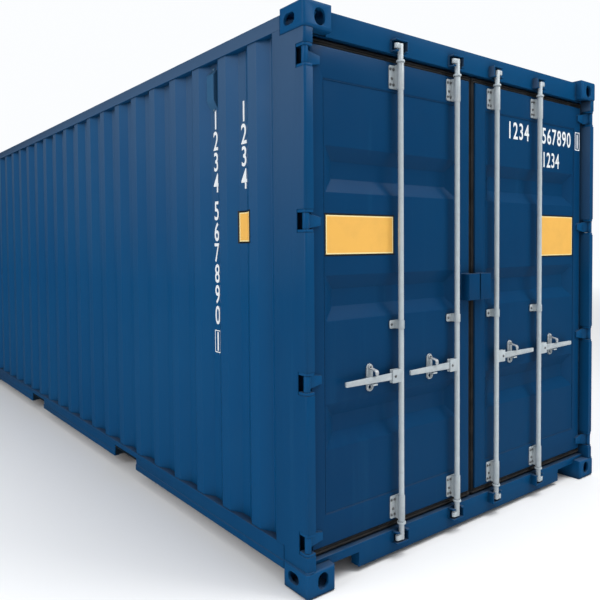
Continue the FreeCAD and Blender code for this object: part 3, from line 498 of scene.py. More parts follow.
def corrugated_sheet_tree():
    """An upright sheet with rounded corrugations, standing along Y."""
    tree, given, result = new_group(
        "corrugated_sheet", "GeometryNodeTree",
        [("Seed", "Geometry", None), ("Ribs", "Int", 20), ("Pitch", "Float", 0.275),
         ("Flat", "Float", 0.072), ("Slope", "Float", 0.068), ("Depth", "Float", 0.036),
         ("End Shift", "Float", 0.0), ("Bend", "Float", 0.01), ("Face", "Float", 1.0),
         ("Base", "Float", 0.0), ("Height", "Float", 2.0), ("Finish", "Material", None)],
        [("Sheet", "Geometry")])
    count = sums(tree, "ADD", sums(tree, "MULTIPLY", given["Ribs"], 4.0), 4.0)
    line = put(tree, "GeometryNodeMeshLine", {"Count": count}).outputs["Mesh"]
    index = sums(tree, "ADD", put(tree, "GeometryNodeInputIndex").outputs[0], 2.0)
    rib = sums(tree, "SUBTRACT", sums(tree, "FLOOR", sums(tree, "DIVIDE", index, 4.0)), 1.0)
    corner = sums(tree, "SUBTRACT", sums(tree, "MODULO", index, 4.0), 1.5)
    side = sums(tree, "SIGN", corner)
    foot = sums(tree, "GREATER_THAN", sums(tree, "ABSOLUTE", corner), 1.0)
    last = sums(tree, "SUBTRACT", given["Ribs"], 1.0)
    middle = sums(tree, "MULTIPLY", sums(tree, "SUBTRACT", rib, sums(tree, "DIVIDE", last, 2.0)),
                  given["Pitch"])
    reach = sums(tree, "ADD", sums(tree, "DIVIDE", given["Flat"], 2.0),
                 sums(tree, "MULTIPLY", foot, given["Slope"]))
    before = sums(tree, "LESS_THAN", rib, -0.5)
    after = sums(tree, "GREATER_THAN", rib, sums(tree, "ADD", last, 0.5))
    shift = sums(tree, "MULTIPLY", sums(tree, "SUBTRACT", before, after), given["End Shift"])
    along = sums(tree, "ADD", sums(tree, "ADD", middle, sums(tree, "MULTIPLY", side, reach)),
                 shift)
    inward = sums(tree, "ADD", given["Face"], sums(tree, "MULTIPLY", foot, given["Depth"]))
    place = vector(tree, inward, along, given["Base"])
    laid = put(tree, "GeometryNodeSetPosition",
               {"Geometry": line, "Position": place}).outputs["Geometry"]
    path = put(tree, "GeometryNodeMeshToCurve", {"Mesh": laid}).outputs["Curve"]
    bent = put(tree, "GeometryNodeFilletCurve",
               {"Curve": path, "Count": 3, "Radius": given["Bend"], "Limit Radius": True},
               mode="POLY").outputs["Curve"]
    edge = put(tree, "GeometryNodeCurveToMesh", {"Curve": bent}).outputs["Mesh"]
    rise = vector(tree, 0.0, 0.0, given["Height"])
    sheet = put(tree, "GeometryNodeExtrudeMesh", {"Mesh": edge, "Offset": rise},
                mode="EDGES").outputs["Mesh"]
    ended(tree, sheet, given["Finish"], result["Sheet"])
    return tree


CORRUGATED_SHEET = corrugated_sheet_tree()


def turned_outward(mesh, outward):
    """Flips a sheet's faces where most of them look the wrong way."""
    work = bmesh.new()
    work.from_mesh(mesh)
    bmesh.ops.recalc_face_normals(work, faces=work.faces)
    lean = sum((face.normal.dot(outward) * face.calc_area() for face in work.faces), 0.0)
    if lean < 0:
        bmesh.ops.reverse_faces(work, faces=work.faces)
    work.to_mesh(mesh)
    work.free()


def thickened(piece, gauge):
    """Gives a sheet its thickness behind its outer face, with the second finish there."""
    wall = piece.modifiers.new("gauge", "SOLIDIFY")
    wall.thickness = gauge
    wall.offset = -1.0
    wall.material_offset = 1
    wall.use_even_offset = True
    return settled(piece)


wall_low, wall_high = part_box("left_side_wall")
END_FLAT = 0.008
rib_count = round((2 * wall_high.y - 2 * 0.020 - RIB_FLAT - 4 * RIB_SLOPE - 2 * END_FLAT)
                  / RIB_PITCH) + 1
left_wall = tree_run("left_wall_sheet", CORRUGATED_SHEET, [(0, 0, 0)], [], Ribs=rib_count,
                     Pitch=RIB_PITCH, Flat=RIB_FLAT, Slope=RIB_SLOPE, Depth=RIB_DEPTH,
                     End_Shift=RIB_HOLLOW - END_FLAT, Bend=WALL_BEND, Face=wall_low.x,
                     Base=wall_low.z, Height=wall_high.z - wall_low.z, Finish=WALL_PAINT)
turned_outward(left_wall.data, Vector((-1, 0, 0)))
left_wall.data.materials.append(INSIDE_PAINT)
thickened(left_wall, SHEET)
smoothed(left_wall, 40)


def across(mesh):
    """A mesh mirrored to the other side of the container, faces outwards."""
    mirrored = mesh.copy()
    mirrored.transform(Matrix.Scale(-1, 4, (1, 0, 0)))
    mirrored.flip_normals()
    return mirrored


right_wall = added_piece("right_wall_sheet", across(left_wall.data), "frame",
                         "container_paint", WALL_PAINT, INSIDE_PAINT)
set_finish(left_wall, "container_paint")
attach(left_wall, "frame")
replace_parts(left_wall, "left_side_wall")
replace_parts(right_wall, "right_side_wall")


# ---------------------------------------------------------------- roof
# The roof is a row of 2 mm sheets, each die-stamped with a shallow raised panel that
# sheds water and stiffens it, welded all round to the rails and the headers.
ROOF_PAINT = paint_finish("roof_paint", BLUE, Fading=0.15, Dust=0.45, Rain_Runs=0.0,
                          Waviness=0.5)


def pressing(depth, slope, bend, steps=3):
    """A smooth S from flat to flat: a list of (how far in, how deep)."""
    tilt = math.atan2(depth, slope)
    lead_in = bend * math.tan(tilt / 2)
    start = []
    for k in range(steps + 1):
        a = tilt * k / steps
        start.append((bend * math.sin(a) - lead_in, bend * (1 - math.cos(a))))
    return start + [(slope - x, depth - d) for x, d in reversed(start)]


def ring_points(spans, corner, steps=5):
    """Points round a rectangle ((u0, u1), (v0, v1)) with rounded corners."""
    (u0, u1), (v0, v1) = spans
    centres = ((u1 - corner, v1 - corner, 0), (u0 + corner, v1 - corner, 90),
               (u0 + corner, v0 + corner, 180), (u1 - corner, v0 + corner, 270))
    points = []
    for cu, cv, start in centres:
        for k in range(steps + 1):
            a = math.radians(start + 90 * k / steps)
            points.append((cu + corner * math.cos(a), cv + corner * math.sin(a)))
    return points


def lofted(work, rings, closed=False, cap_last=False):
    """Faces between one ring of points and the next."""
    rows = [[work.verts.new(point) for point in ring] for ring in rings]
    pairs = list(zip(rows, rows[1:]))
    if closed:
        pairs.append((rows[-1], rows[0]))
    for first, second in pairs:
        for k in range(len(first)):
            m = (k + 1) % len(first)
            work.faces.new((first[k], first[m], second[m], second[k]))
    if cap_last:
        work.faces.new(rows[-1])


def repeat_along_tree():
    """Copies of a piece in a row along Y."""
    tree, given, result = new_group(
        "row_of_panels", "GeometryNodeTree",
        [("Panel", "Geometry", None), ("Count", "Int", 2), ("Pitch", "Float", 0.2),
         ("Finish", "Material", None)], [("Row", "Geometry")])
    last = sums(tree, "SUBTRACT", given["Count"], 1.0)
    start = sums(tree, "MULTIPLY", sums(tree, "MULTIPLY", last, given["Pitch"]), -0.5)
    line = put(tree, "GeometryNodeMeshLine",
               {"Count": given["Count"], "Start Location": vector(tree, 0.0, start, 0.0),
                "Offset": vector(tree, 0.0, given["Pitch"], 0.0)}).outputs["Mesh"]
    row = put(tree, "GeometryNodeInstanceOnPoints", {"Points": line,
                                                     "Instance": given["Panel"]})
    real = put(tree, "GeometryNodeRealizeInstances",
               {"Geometry": row.outputs["Instances"]}).outputs["Geometry"]
    joined = put(tree, "GeometryNodeMergeByDistance", {"Geometry": real,
                                                       "Distance": 0.0002}).outputs["Geometry"]
    ended(tree, joined, given["Finish"], result["Row"])
    return tree


ROW_OF_PANELS = repeat_along_tree()


roof_low, roof_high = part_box("roof_panel")
ROOF_PANELS = 26
ROOF_BASE, ROOF_SLOPE, ROOF_EDGE, ROOF_BEND, ROOF_CORNER = 0.156, 0.022, 0.062, 0.014, 0.030
roof_pitch = (roof_high.y - roof_low.y) / ROOF_PANELS
skin_z = roof_low.z + SHEET
roof_rise = roof_high.z - skin_z
panel = bmesh.new()
panel_rings = [[(x, y, skin_z) for x, y in ring_points(
    ((-roof_high.x, roof_high.x), (-roof_pitch / 2, roof_pitch / 2)), 0.0)]]
for inward, height in pressing(roof_rise, ROOF_SLOPE, ROOF_BEND):
    half_x = roof_high.x - ROOF_EDGE - inward
    half_y = ROOF_BASE / 2 - inward
    panel_rings.append([(x, y, skin_z + height) for x, y in ring_points(
        ((-half_x, half_x), (-half_y, half_y)), ROOF_CORNER)])
lofted(panel, panel_rings, cap_last=True)
roof = grown("roof_sheets", mesh_of("roof_sheets", panel), ROW_OF_PANELS, Count=ROOF_PANELS,
             Pitch=roof_pitch, Finish=ROOF_PAINT)
turned_outward(roof.data, Vector((0, 0, 1)))
roof.data.materials.append(INSIDE_PAINT)
thickened(roof, SHEET)
smoothed(roof, 40)
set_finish(roof, "container_paint")
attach(roof, "frame")
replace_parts(roof, "roof_panel")
softened("roof_end_plates", 0.0006, "container_paint", ROOF_PAINT)
roof_x = roof_high.x - 0.003
welded("roof_welds", both_ways([(roof_x, 0.0, skin_z), (roof_x, inner_y - 0.004, skin_z)]),
       0.0025, "frame", FRAME_PAINT)


# ---------------------------------------------------------------- floor
# Plywood sheets 28 mm thick lie across the cross members and are held down by rows of
# countersunk self-tapping screws.  The top is sealed with a dull varnish.
def plywood():
    """Red-brown tropical ply: long grain, darker figure and a worn varnish."""
    finish, tree, shader, fed = new_finish("sealed_plywood")
    place = object_place(tree)
    along = stretched(tree, place, (40.0, 2.0, 40.0))
    grain = noise(tree, along, 2.0, 7.0, distortion=0.6)
    pores = noise(tree, along, 16.0, 3.0)
    worn = noise(tree, place, 1.6, 6.0)
    wood = tinted(tree, between(tree, grain, 0.3, 0.7), (0.23, 0.115, 0.055, 1),
                  (0.37, 0.22, 0.12, 1))
    wood = tinted(tree, between(tree, pores, 0.6, 0.75, 0.0, 0.5), wood, (0.10, 0.05, 0.025, 1))
    wood = tinted(tree, between(tree, worn, 0.5, 0.75, 0.0, 0.4), wood, (0.40, 0.34, 0.27, 1))
    handed_out(tree, fed, wood, between(tree, worn, 0.3, 0.8, 0.42, 0.72),
               bumped(tree, pores, 0.3, 0.001))
    return finish


PLYWOOD = plywood()
softened("floor_boards", 0.0015, "floor_plywood", PLYWOOD)


def zinc_bloom_group():
    """Hot-dip zinc: pale spangles, dull bloom, faint runs and painted shade in corners."""
    tree, given, result = new_group(
        "zinc_bloom", "ShaderNodeTree",
        [("Zinc", "Color", (0.50, 0.565, 0.60, 1.0)), ("Spangle", "Float", 70.0),
         ("Bloom", "Float", 0.5), ("Grime", "Float", 0.4)],
        [("Colour", "Color"), ("Roughness", "Float"), ("Normal", "Vector")])
    place = object_place(tree)
    cells = put(tree, "ShaderNodeTexVoronoi", {"Vector": place, "Scale": given["Spangle"]})
    tone = put(tree, "ShaderNodeSeparateXYZ", {"Vector": cells.outputs["Color"]}).outputs["X"]
    bloom = noise(tree, place, 14.0, 6.0, 0.7)
    colour = tinted(tree, between(tree, tone, 0.0, 1.0, 0.0, 0.22), given["Zinc"],
                    (0.36, 0.38, 0.40, 1.0))
    pale = sums(tree, "MULTIPLY", between(tree, bloom, 0.42, 0.7), given["Bloom"])
    colour = tinted(tree, pale, colour, (0.66, 0.68, 0.68, 1.0))
    # Painted shade: ambient occlusion darkens the zinc in corners and gaps.
    corner = shut_in(tree, 0.03, 0.8, 0.2, given["Grime"])
    colour = tinted(tree, corner, colour, (0.06, 0.055, 0.05, 1.0))
    dull = sums(tree, "ADD", 0.42, sums(tree, "MULTIPLY", pale, 0.3))
    handed_out(tree, result, colour, dull, bumped(tree, bloom, 0.25, 0.0006))
    return tree


ZINC_BLOOM = zinc_bloom_group()


def zinc_finish(name, metallic, **amounts):
    """A galvanised or zinc-plated material."""
    finish, tree, shader, fed = new_finish(name)
    shader.inputs["Metallic"].default_value = metallic
    handed_out(tree, fed, *group_amounts(tree, ZINC_BLOOM, **amounts))
    return finish


GALVANISED = zinc_finish("galvanised_steel_finish", 0.2)
SCREW_STEEL = zinc_finish("zinc_screw", 0.8, Bloom=0.2)


def fastener_tree():
    """Round heads on washers, one at each point, all turned the same way."""
    tree, given, result = new_group(
        "fasteners", "GeometryNodeTree",
        [("Places", "Geometry", None), ("Head", "Float", 0.008), ("Rise", "Float", 0.006),
         ("Washer", "Float", 0.012), ("Turn", "Vector", (0.0, 0.0, 0.0)),
         ("Finish", "Material", None)], [("Fasteners", "Geometry")])
    crown = sums(tree, "MULTIPLY", given["Head"], 0.62)
    head = put(tree, "GeometryNodeMeshCone",
               {"Vertices": 12, "Radius Top": crown, "Radius Bottom": given["Head"],
                "Depth": given["Rise"]}).outputs["Mesh"]
    plate_rise = sums(tree, "MULTIPLY", given["Rise"], 0.3)
    plate = put(tree, "GeometryNodeMeshCylinder",
                {"Vertices": 16, "Radius": given["Washer"], "Depth": plate_rise}).outputs["Mesh"]
    lift = vector(tree, 0.0, 0.0, plate_rise)
    raised = put(tree, "GeometryNodeTransform", {"Geometry": head, "Translation": lift})
    both = put(tree, "GeometryNodeJoinGeometry")
    tree.links.new(raised.outputs["Geometry"], both.inputs[0])
    tree.links.new(plate, both.inputs[0])
    points = put(tree, "GeometryNodeMeshToPoints", {"Mesh": given["Places"]}).outputs["Points"]
    set_out = put(tree, "GeometryNodeInstanceOnPoints",
                  {"Points": points, "Instance": both.outputs["Geometry"]})
    tree.links.new(given["Turn"], set_out.inputs["Rotation"])
    ended(tree, set_out.outputs["Instances"], given["Finish"], result["Fasteners"])
    return tree


FASTENERS = fastener_tree()
TO_FRONT = (math.pi / 2, 0.0, 0.0)
UPWARD = (0.0, 0.0, 0.0)


def fastened(name, places, head, rise, washer, turn, body, slot, finish):
    """A set of fasteners that rides on one body."""
    piece = tree_run(name, FASTENERS, places, [], Head=head, Rise=rise, Washer=washer,
                     Turn=turn, Finish=finish)
    smoothed(piece, 32)
    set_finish(piece, slot)
    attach(piece, body)
    return piece


floor_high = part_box("floor_boards")[1]
CROSS_PITCH, SCREW_SPACING = 0.282, 0.15
screw_rows = [k * CROSS_PITCH for k in range(-10, 11) if abs(k * CROSS_PITCH) < floor_high.y]
screw_count = int((floor_high.x - 0.03) / SCREW_SPACING)
screw_places = [(k * SCREW_SPACING, y, floor_high.z - 0.0005) for y in screw_rows
                for k in range(-screw_count, screw_count + 1)]
fastened("floor_screws", screw_places, 0.005, 0.001, 0.006, UPWARD, "frame",
         "galvanised_steel", SCREW_STEEL)


# ---------------------------------------------------------------- end frames and keepers
# A boxed header and a boxed sill close each end frame.  The keepers that the cams lock
# into are C-shaped pieces of zinc-plated plate, welded to the header and the sill.
softened("end_headers", 0.003, "container_paint", FRAME_PAINT)
softened("end_sills", 0.003, "container_paint", FRAME_PAINT)
softened("cam_keepers", 0.0014, "container_paint", FRAME_PAINT)
header_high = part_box("end_headers")[1]
FRAME_SET_BACK = 0.048
header_face = low.y + FRAME_SET_BACK
CASTING_TALL = 0.118
header_welds = both_ways([(inner_x, header_face, header_high.z),
                          (inner_x, header_face, high.z - CASTING_TALL)])
header_welds += both_ways([(inner_x, header_face, CASTING_TALL - 0.022),
                           (inner_x, header_face, CASTING_TALL)])
welded("header_welds", header_welds, 0.003, "frame", FRAME_PAINT)
BAR_PLACES = (-0.605, -0.175, 0.175, 0.605)
KEEPER_HALF = 0.044
keeper_low, keeper_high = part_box("cam_keepers")
KEEPER_TALL = 0.060
keeper_welds = []
for place in BAR_PLACES:
    for foot in (keeper_low.z, keeper_high.z - KEEPER_TALL):
        for edge in (place - KEEPER_HALF - 0.001, place + KEEPER_HALF + 0.001):
            for face in (header_face, -header_face):
                keeper_welds.append([(edge, face, foot + 0.004),
                                     (edge, face, foot + KEEPER_TALL - 0.004)])
welded("keeper_welds", keeper_welds, 0.0022, "frame", FRAME_PAINT)


# ---------------------------------------------------------------- ventilators
# Small pressed hoods over air holes near the top of each side, held by a pop rivet
# through a tab at each end.  The hood's ends slope in towards the sheet.
# Painted light: the hoods' blue is lighter and greyer than the container's, standing in for the
# light on their front faces.
LIT_VENT_PAINT = paint_finish("ventilator_paint_painted_light", (0.03, 0.09, 0.18), Grime=0.5, Fading=0.3)
VENT_TAB, VENT_TAB_HALF, VENT_DEEP = 0.014, 0.016, 0.026
HALF_ROUND = Matrix.Rotation(math.pi, 4, "Z")
vent_low, vent_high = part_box("side_ventilators")
vent_y = -(abs(vent_low.y) - 0.046)
vent_root = wall_low.x + RIB_DEPTH
hood_low, hood_high = vent_low.z + VENT_TAB, vent_high.z - VENT_TAB
hood = bmesh.new()
hood_rings = []
for rise, side_in, low_in, high_in in ((0.0, 0.0, 0.0, 0.0), (0.30, 0.0, 0.010, 0.006),
                                       (0.86, 0.001, 0.034, 0.022), (0.96, 0.003, 0.040, 0.026),
                                       (1.0, 0.007, 0.045, 0.031)):
    spans = ((vent_y - 0.036 + side_in, vent_y + 0.036 - side_in),
             (hood_low + low_in, hood_high - high_in))
    hood_rings.append([(vent_root - rise * VENT_DEEP, y, z)
                       for y, z in ring_points(spans, 0.006)])
lofted(hood, hood_rings, cap_last=True)
hood.faces.new(list(hood.verts)[:len(hood_rings[0])])
for tab_z in (hood_low - 0.003, hood_high + 0.003):
    tab_rings = []
    for rise in (0.0005, 0.0025):
        spans = ((vent_y - VENT_TAB_HALF, vent_y + VENT_TAB_HALF),
                 (tab_z - 0.011, tab_z + 0.011))
        tab_rings.append([(vent_root - rise, y, z) for y, z in ring_points(spans, 0.004)])
    first = len(hood.verts)
    lofted(hood, tab_rings, cap_last=True)
    hood.verts.ensure_lookup_table()
    hood.faces.new([hood.verts[first + k] for k in range(len(tab_rings[0]))])
bmesh.ops.recalc_face_normals(hood, faces=hood.faces)
hood_mesh = mesh_of("ventilator_hoods", hood)
pair = bmesh.new()
pair.from_mesh(hood_mesh)
hood_mesh.transform(HALF_ROUND)
pair.from_mesh(hood_mesh)
pair.to_mesh(hood_mesh)
pair.free()
hoods = added_piece("ventilator_hoods", hood_mesh, "frame", "container_paint", LIT_VENT_PAINT)
smoothed(hoods, 28)
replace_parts(hoods, "side_ventilators")
vent_rivets = [(vent_root - 0.0028, vent_y, z) for z in (hood_low - 0.006, hood_high + 0.006)]
for side, sign in (("left", 1), ("right", -1)):
    spots = [(sign * x, sign * y, z) for x, y, z in vent_rivets]
    fastened("ventilator_rivets_" + side, spots, 0.0038, 0.002, 0.0046,
             (0.0, -sign * math.pi / 2, 0.0), "frame", "galvanised_steel", SCREW_STEEL)


# ---------------------------------------------------------------- door leaves
# Each leaf is a welded frame of rectangular steel tube with a 2 mm sheet let into it.
# The sheet is stamped with three wide pressings and welded all round from the front.
# Painted shade: the doors' blue is the container's blue made darker, standing in for the lesser
# light on the end faces.
SHADED_DOOR_BLUE = (0.0, 0.037, 0.112)
SHADED_DOOR_PAINT = paint_finish("door_paint_painted_shade", SHADED_DOOR_BLUE, Grime=0.55, Fading=0.08, Waviness=0.45)
LEAF_THICK, PANEL_SET = 0.050, 0.004
STILE_HINGE, STILE_LOCK, LEAF_RAIL = 0.079, 0.093, 0.144
PRESSINGS, PRESSING_TALL, PRESSING_PITCH = 3, 0.208, 0.585
PRESSING_DEEP, PRESSING_SLOPE, PRESSING_MARGIN, PRESSING_BEND = 0.036, 0.064, 0.008, 0.009
TUBE_ROUND = 0.006
leaf_low, leaf_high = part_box("left_door_leaf")


def shrunk(spans, d):
    """A rectangle with each side moved in by d."""
    return tuple((start + d, end - d) for start, end in spans)


def upright_ring(spans, y, corner):
    return [(x, y, z) for x, z in ring_points(spans, corner)]


outer_edge = ((leaf_low.x, leaf_high.x), (leaf_low.z, leaf_high.z))
opening = ((leaf_low.x + STILE_HINGE, leaf_high.x - STILE_LOCK),
           (leaf_low.z + LEAF_RAIL, leaf_high.z - LEAF_RAIL))
leaf_front, leaf_back = leaf_low.y, leaf_low.y + LEAF_THICK
tube_rings = []
for spans, outward, face, inward, swapped, corner in (
        (outer_edge, 1, leaf_front, 1, False, 0.004), (outer_edge, 1, leaf_back, -1, True, 0.004),
        (opening, -1, leaf_back, -1, False, 0.003), (opening, -1, leaf_front, 1, True, 0.003)):
    for a in [math.pi / 2 * k / 3 for k in range(4)]:
        side, deep = (math.cos(a), math.sin(a)) if swapped else (math.sin(a), math.cos(a))
        tube_rings.append(upright_ring(shrunk(spans, outward * TUBE_ROUND * (1 - side)),
                                       face + inward * TUBE_ROUND * (1 - deep), corner))
tubes = bmesh.new()
lofted(tubes, tube_rings, closed=True)
bmesh.ops.recalc_face_normals(tubes, faces=tubes.faces)
leaf_mesh = mesh_of("left_door", tubes)

panel_y = leaf_front + PANEL_SET
sheet = bmesh.new()
(pan_x0, pan_x1), (open_z0, open_z1) = opening
middle_z = (open_z0 + open_z1) / 2
pressing_z = [middle_z + (k - (PRESSINGS - 1) / 2) * PRESSING_PITCH for k in range(PRESSINGS)]
cell_edges = [open_z0] + [(p + q) / 2 for p, q in zip(pressing_z, pressing_z[1:])] + [open_z1]
for k, centre_z in enumerate(pressing_z):
    cell = ((pan_x0, pan_x1), (cell_edges[k], cell_edges[k + 1]))
    rings = [upright_ring(cell, panel_y, 0.0)]
    hollow = ((pan_x0 + PRESSING_MARGIN, pan_x1 - PRESSING_MARGIN),
              (centre_z - PRESSING_TALL / 2, centre_z + PRESSING_TALL / 2))
    for inward, depth in pressing(PRESSING_DEEP, PRESSING_SLOPE, PRESSING_BEND, 4):
        rings.append(upright_ring(shrunk(hollow, inward), panel_y + depth, 0.006))
    lofted(sheet, rings, cap_last=True)
bmesh.ops.remove_doubles(sheet, verts=sheet.verts, dist=0.00005)
bmesh.ops.dissolve_degenerate(sheet, edges=sheet.edges, dist=0.00005)
sheet_mesh = mesh_of("left_door_sheet", sheet)
turned_outward(sheet_mesh, Vector((0, -1, 0)))
pressed = shown("left_door_sheet", sheet_mesh)
for finish in (SHADED_DOOR_PAINT, INSIDE_PAINT):
    sheet_mesh.materials.append(finish)
thickened(pressed, SHEET)
whole = bmesh.new()
whole.from_mesh(leaf_mesh)
whole.from_mesh(pressed.data)
whole.to_mesh(leaf_mesh)
whole.free()
bpy.data.objects.remove(pressed)


def mirrored(paths):
    """Paths on the left leaf, moved to the right one."""
    return [[(-x, y, z) for x, y, z in path] for path in paths]


def finished_leaf(side, mesh):
    """A whole leaf as a smooth piece in place of its plain one."""
    leaf = added_piece(side + "_door", mesh, side + "_door", "container_paint",
                       SHADED_DOOR_PAINT, INSIDE_PAINT)
    smoothed(leaf, 38)
    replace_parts(leaf, side + "_door_leaf")
    return leaf


right_leaf_mesh = across(leaf_mesh)
left_leaf = finished_leaf("left", leaf_mesh)
right_leaf = finished_leaf("right", right_leaf_mesh)
seam_x0, seam_x1 = pan_x0 + 0.001, pan_x1 - 0.001
seam_z0, seam_z1 = open_z0 + 0.001, open_z1 - 0.001
seam_y = panel_y - 0.0005
seam = [(seam_x0, seam_y, seam_z0), (seam_x1, seam_y, seam_z0), (seam_x1, seam_y, seam_z1),
        (seam_x0, seam_y, seam_z1), (seam_x0, seam_y, seam_z0)]
left_seams = welded("left_door_seams", [seam], 0.0024, "left_door", SHADED_DOOR_PAINT)
right_seams = welded("right_door_seams", mirrored([seam]), 0.0024, "right_door", SHADED_DOOR_PAINT)


# ---------------------------------------------------------------- door seals
# Black rubber seals run round each leaf in a steel strip.  A hollow lip with two ridges
# spreads over the gap to the frame, and the two leaves' lips meet at the middle.
def seal_rubber():
    """Dull black rubber with dust in its grooves."""
    finish, tree, shader, fed = new_finish("seal_rubber")
    place = object_place(tree)
    film = noise(tree, place, 11.0, 8.0, 0.7)
    colour = tinted(tree, between(tree, film, 0.4, 0.75), (0.010, 0.0095, 0.010, 1),
                    (0.034, 0.030, 0.028, 1))
    handed_out(tree, fed, colour, between(tree, film, 0.3, 0.8, 0.55, 0.8),
               bumped(tree, noise(tree, place, 600.0), 0.25, 0.0004))
    return finish


SEAL_RUBBER = seal_rubber()
seal_low, seal_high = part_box("left_door_gasket")
seal_outer = ((seal_low.x, seal_high.x), (seal_low.z, seal_high.z))
seal_inner = outer_edge
SEAL_SECTION = ((0.0, 0.040), (0.0, 0.014), (0.03, 0.008), (0.09, 0.004), (0.2, 0.001),
                (0.32, 0.0), (0.40, 0.002), (0.45, 0.0055), (0.50, 0.007), (0.55, 0.0055),
                (0.60, 0.002), (0.68, 0.0), (0.82, 0.001), (0.93, 0.004), (1.0, 0.009),
                (1.0, 0.040))
seal_rings = []
for share, depth in SEAL_SECTION:
    spans = tuple((p + (r - p) * share, q + (t - q) * share)
                  for (p, q), (r, t) in zip(seal_outer, seal_inner))
    seal_rings.append(upright_ring(spans, seal_low.y + depth, 0.010 - 0.006 * share))
seal = bmesh.new()
lofted(seal, seal_rings, closed=True)
bmesh.ops.recalc_face_normals(seal, faces=seal.faces)
seal_mesh = mesh_of("left_door_seal", seal)
seals = []
for side, mesh in (("right", across(seal_mesh)), ("left", seal_mesh)):
    rubber = added_piece(side + "_door_seal", mesh, side + "_door", "gasket_rubber",
                         SEAL_RUBBER)
    smoothed(rubber, 50)
    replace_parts(rubber, side + "_door_gasket")
    seals.append(rubber)


# ---------------------------------------------------------------- hinges
# Forged blades are welded across each hinge stile, and turn on steel pins held between
# lugs that sit inside the cut-outs of the posts.
HINGE_PAINT = paint_finish("hinge_paint", BLUE, Scuffs=0.2, Grime=0.9, Gloss_Loss=0.4,
                           Grain=0.4)
softened("hinge_lugs", 0.0015, "container_paint", HINGE_PAINT)
blades = [softened(side + "_door_hinges", 0.002, "container_paint", HINGE_PAINT, 24.0)
          for side in ("left", "right")]
HINGE_HEIGHTS = (0.238, 0.945, 1.651, 2.358)
blade_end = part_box("left_door_hinges")[1].x
BLADE_ROOT_HALF, BLADE_TIP_HALF = 0.036, 0.018
hinge_welds = []
for height in HINGE_HEIGHTS:
    top_edge = [(leaf_low.x + 0.006, leaf_front, height + BLADE_ROOT_HALF - 0.006),
                (blade_end, leaf_front, height + BLADE_TIP_HALF)]
    low_edge = [(x, y, 2 * height - z) for x, y, z in top_edge]
    hinge_welds.append(top_edge + low_edge[::-1])
blade_welds = [welded("left_hinge_welds", hinge_welds, 0.0028, "left_door", HINGE_PAINT),
               welded("right_hinge_welds", mirrored(hinge_welds), 0.0028, "right_door",
                      HINGE_PAINT)]


# ---------------------------------------------------------------- locking bars and bearings
# The locking bars are galvanised steel pipe with a forged cam welded on at each end.
# They turn in bearing housings that are bolted through the leaf with steel bolts.
BAR_ZINC = zinc_finish("bar_zinc", 0.1, Spangle=45.0, Bloom=0.25, Grime=0.3)
# Bolts and rivets get a dark steel: partly their own dull steel, partly painted shade for the
# shadowed holes round them.
BOLT_STEEL_AND_SHADE = zinc_finish("dull_bolt_and_painted_shade", 0.6, Zinc=(0.16, 0.165, 0.17, 1.0), Bloom=0.25,
                         Grime=0.7)
bars = [softened("locking_bar_%d" % k, 0.0012, "galvanised_steel", BAR_ZINC)
        for k in (1, 2, 3, 4)]
brackets = [softened(side + "_bar_brackets", 0.0016, "galvanised_steel", GALVANISED)
            for side in ("left", "right")]
PLATE_THICK, BRACKET_MIDDLES = 0.005, (0.247, 2.357)
BOLT_PLACES = ((-0.038, 0.037), (-0.018, 0.037), (-0.028, -0.008), (-0.038, -0.037),
               (-0.018, -0.037), (0.037, 0.040), (0.037, -0.034))
GUIDE_MIDDLE = 1.155
plate_y = leaf_front - PLATE_THICK
DOOR_BARS = (("left", BAR_PLACES[:2]), ("right", BAR_PLACES[2:]))
bolts = []
for side, places in DOOR_BARS:
    spots = [(place + dx, plate_y, middle + dz) for place in places
             for middle in BRACKET_MIDDLES for dx, dz in BOLT_PLACES]
    spots += [(place + dx, plate_y, GUIDE_MIDDLE) for place in places for dx in (-0.034, 0.036)]
    bolts.append(fastened(side + "_bracket_bolts", spots, 0.0058, 0.0050, 0.0072, TO_FRONT,
                          side + "_door", "galvanised_steel", BOLT_STEEL_AND_SHADE))


# ---------------------------------------------------------------- handles, catches and hasps
# Each bar has a flat steel handle riveted between two cheeks.  It rests on a catch bolted
# to the leaf, and a bent steel hasp hangs before it from a rivet, ready for a seal.
handles = [softened("handle_%d" % k, 0.0016, "galvanised_steel", GALVANISED)
           for k in (1, 2, 3, 4)]
catches = [softened(side + "_handle_catches", 0.0012, "galvanised_steel", GALVANISED)
           for side in ("left", "right")]
BAR_AXIS_Y = low.y + 0.024
HANDLE_Z, HANDLE_PIVOT, CHEEK_REACH = 0.908, 0.050, 0.0115
CATCH_PLACE = 0.180
hasp_low, hasp_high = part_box("hasp_1")
EYE_ROUND = (hasp_high.x - hasp_low.x) / 2
HASP_Z = hasp_high.z - EYE_ROUND
HASP_GAUGE, HASP_HALF = 0.0046, 0.0104
EYE_FRONT = hasp_high.y - 0.005
BEND_ROUND, FOLD_ROUND, PLATE_CLEARANCE = 0.011, 0.003, 0.0004


def away(place):
    """-1 for a bar on the left leaf and 1 for one on the right."""
    return -1.0 if place < 0 else 1.0


def hasp_line():
    """The bent strap's middle line from its eye to its tail, as y and z."""
    back = hasp_high.y - PLATE_CLEARANCE - HASP_GAUGE / 2
    front = hasp_low.y + HASP_GAUGE / 2
    fold_z = HASP_Z - EYE_ROUND + 0.0065
    bend_z = HASP_Z - EYE_ROUND + 0.0004
    line = [(back, HASP_Z + 0.002), (back, fold_z + FOLD_ROUND)]
    for k in range(1, 5):
        turn = math.radians(90.0 * k / 4)
        line.append((back - FOLD_ROUND * (1 - math.cos(turn)),
                     fold_z + FOLD_ROUND * (1 - math.sin(turn))))
    for k in range(9):
        turn = math.radians(90.0 * k / 8)
        line.append((front + BEND_ROUND * (1 - math.sin(turn)),
                     bend_z - BEND_ROUND * (1 - math.cos(turn))))
    start, foot, steps = line[-1][1], hasp_low.z, 6
    line += [(front, start + (foot - start) * k / steps) for k in range(1, steps + 1)]
    return line


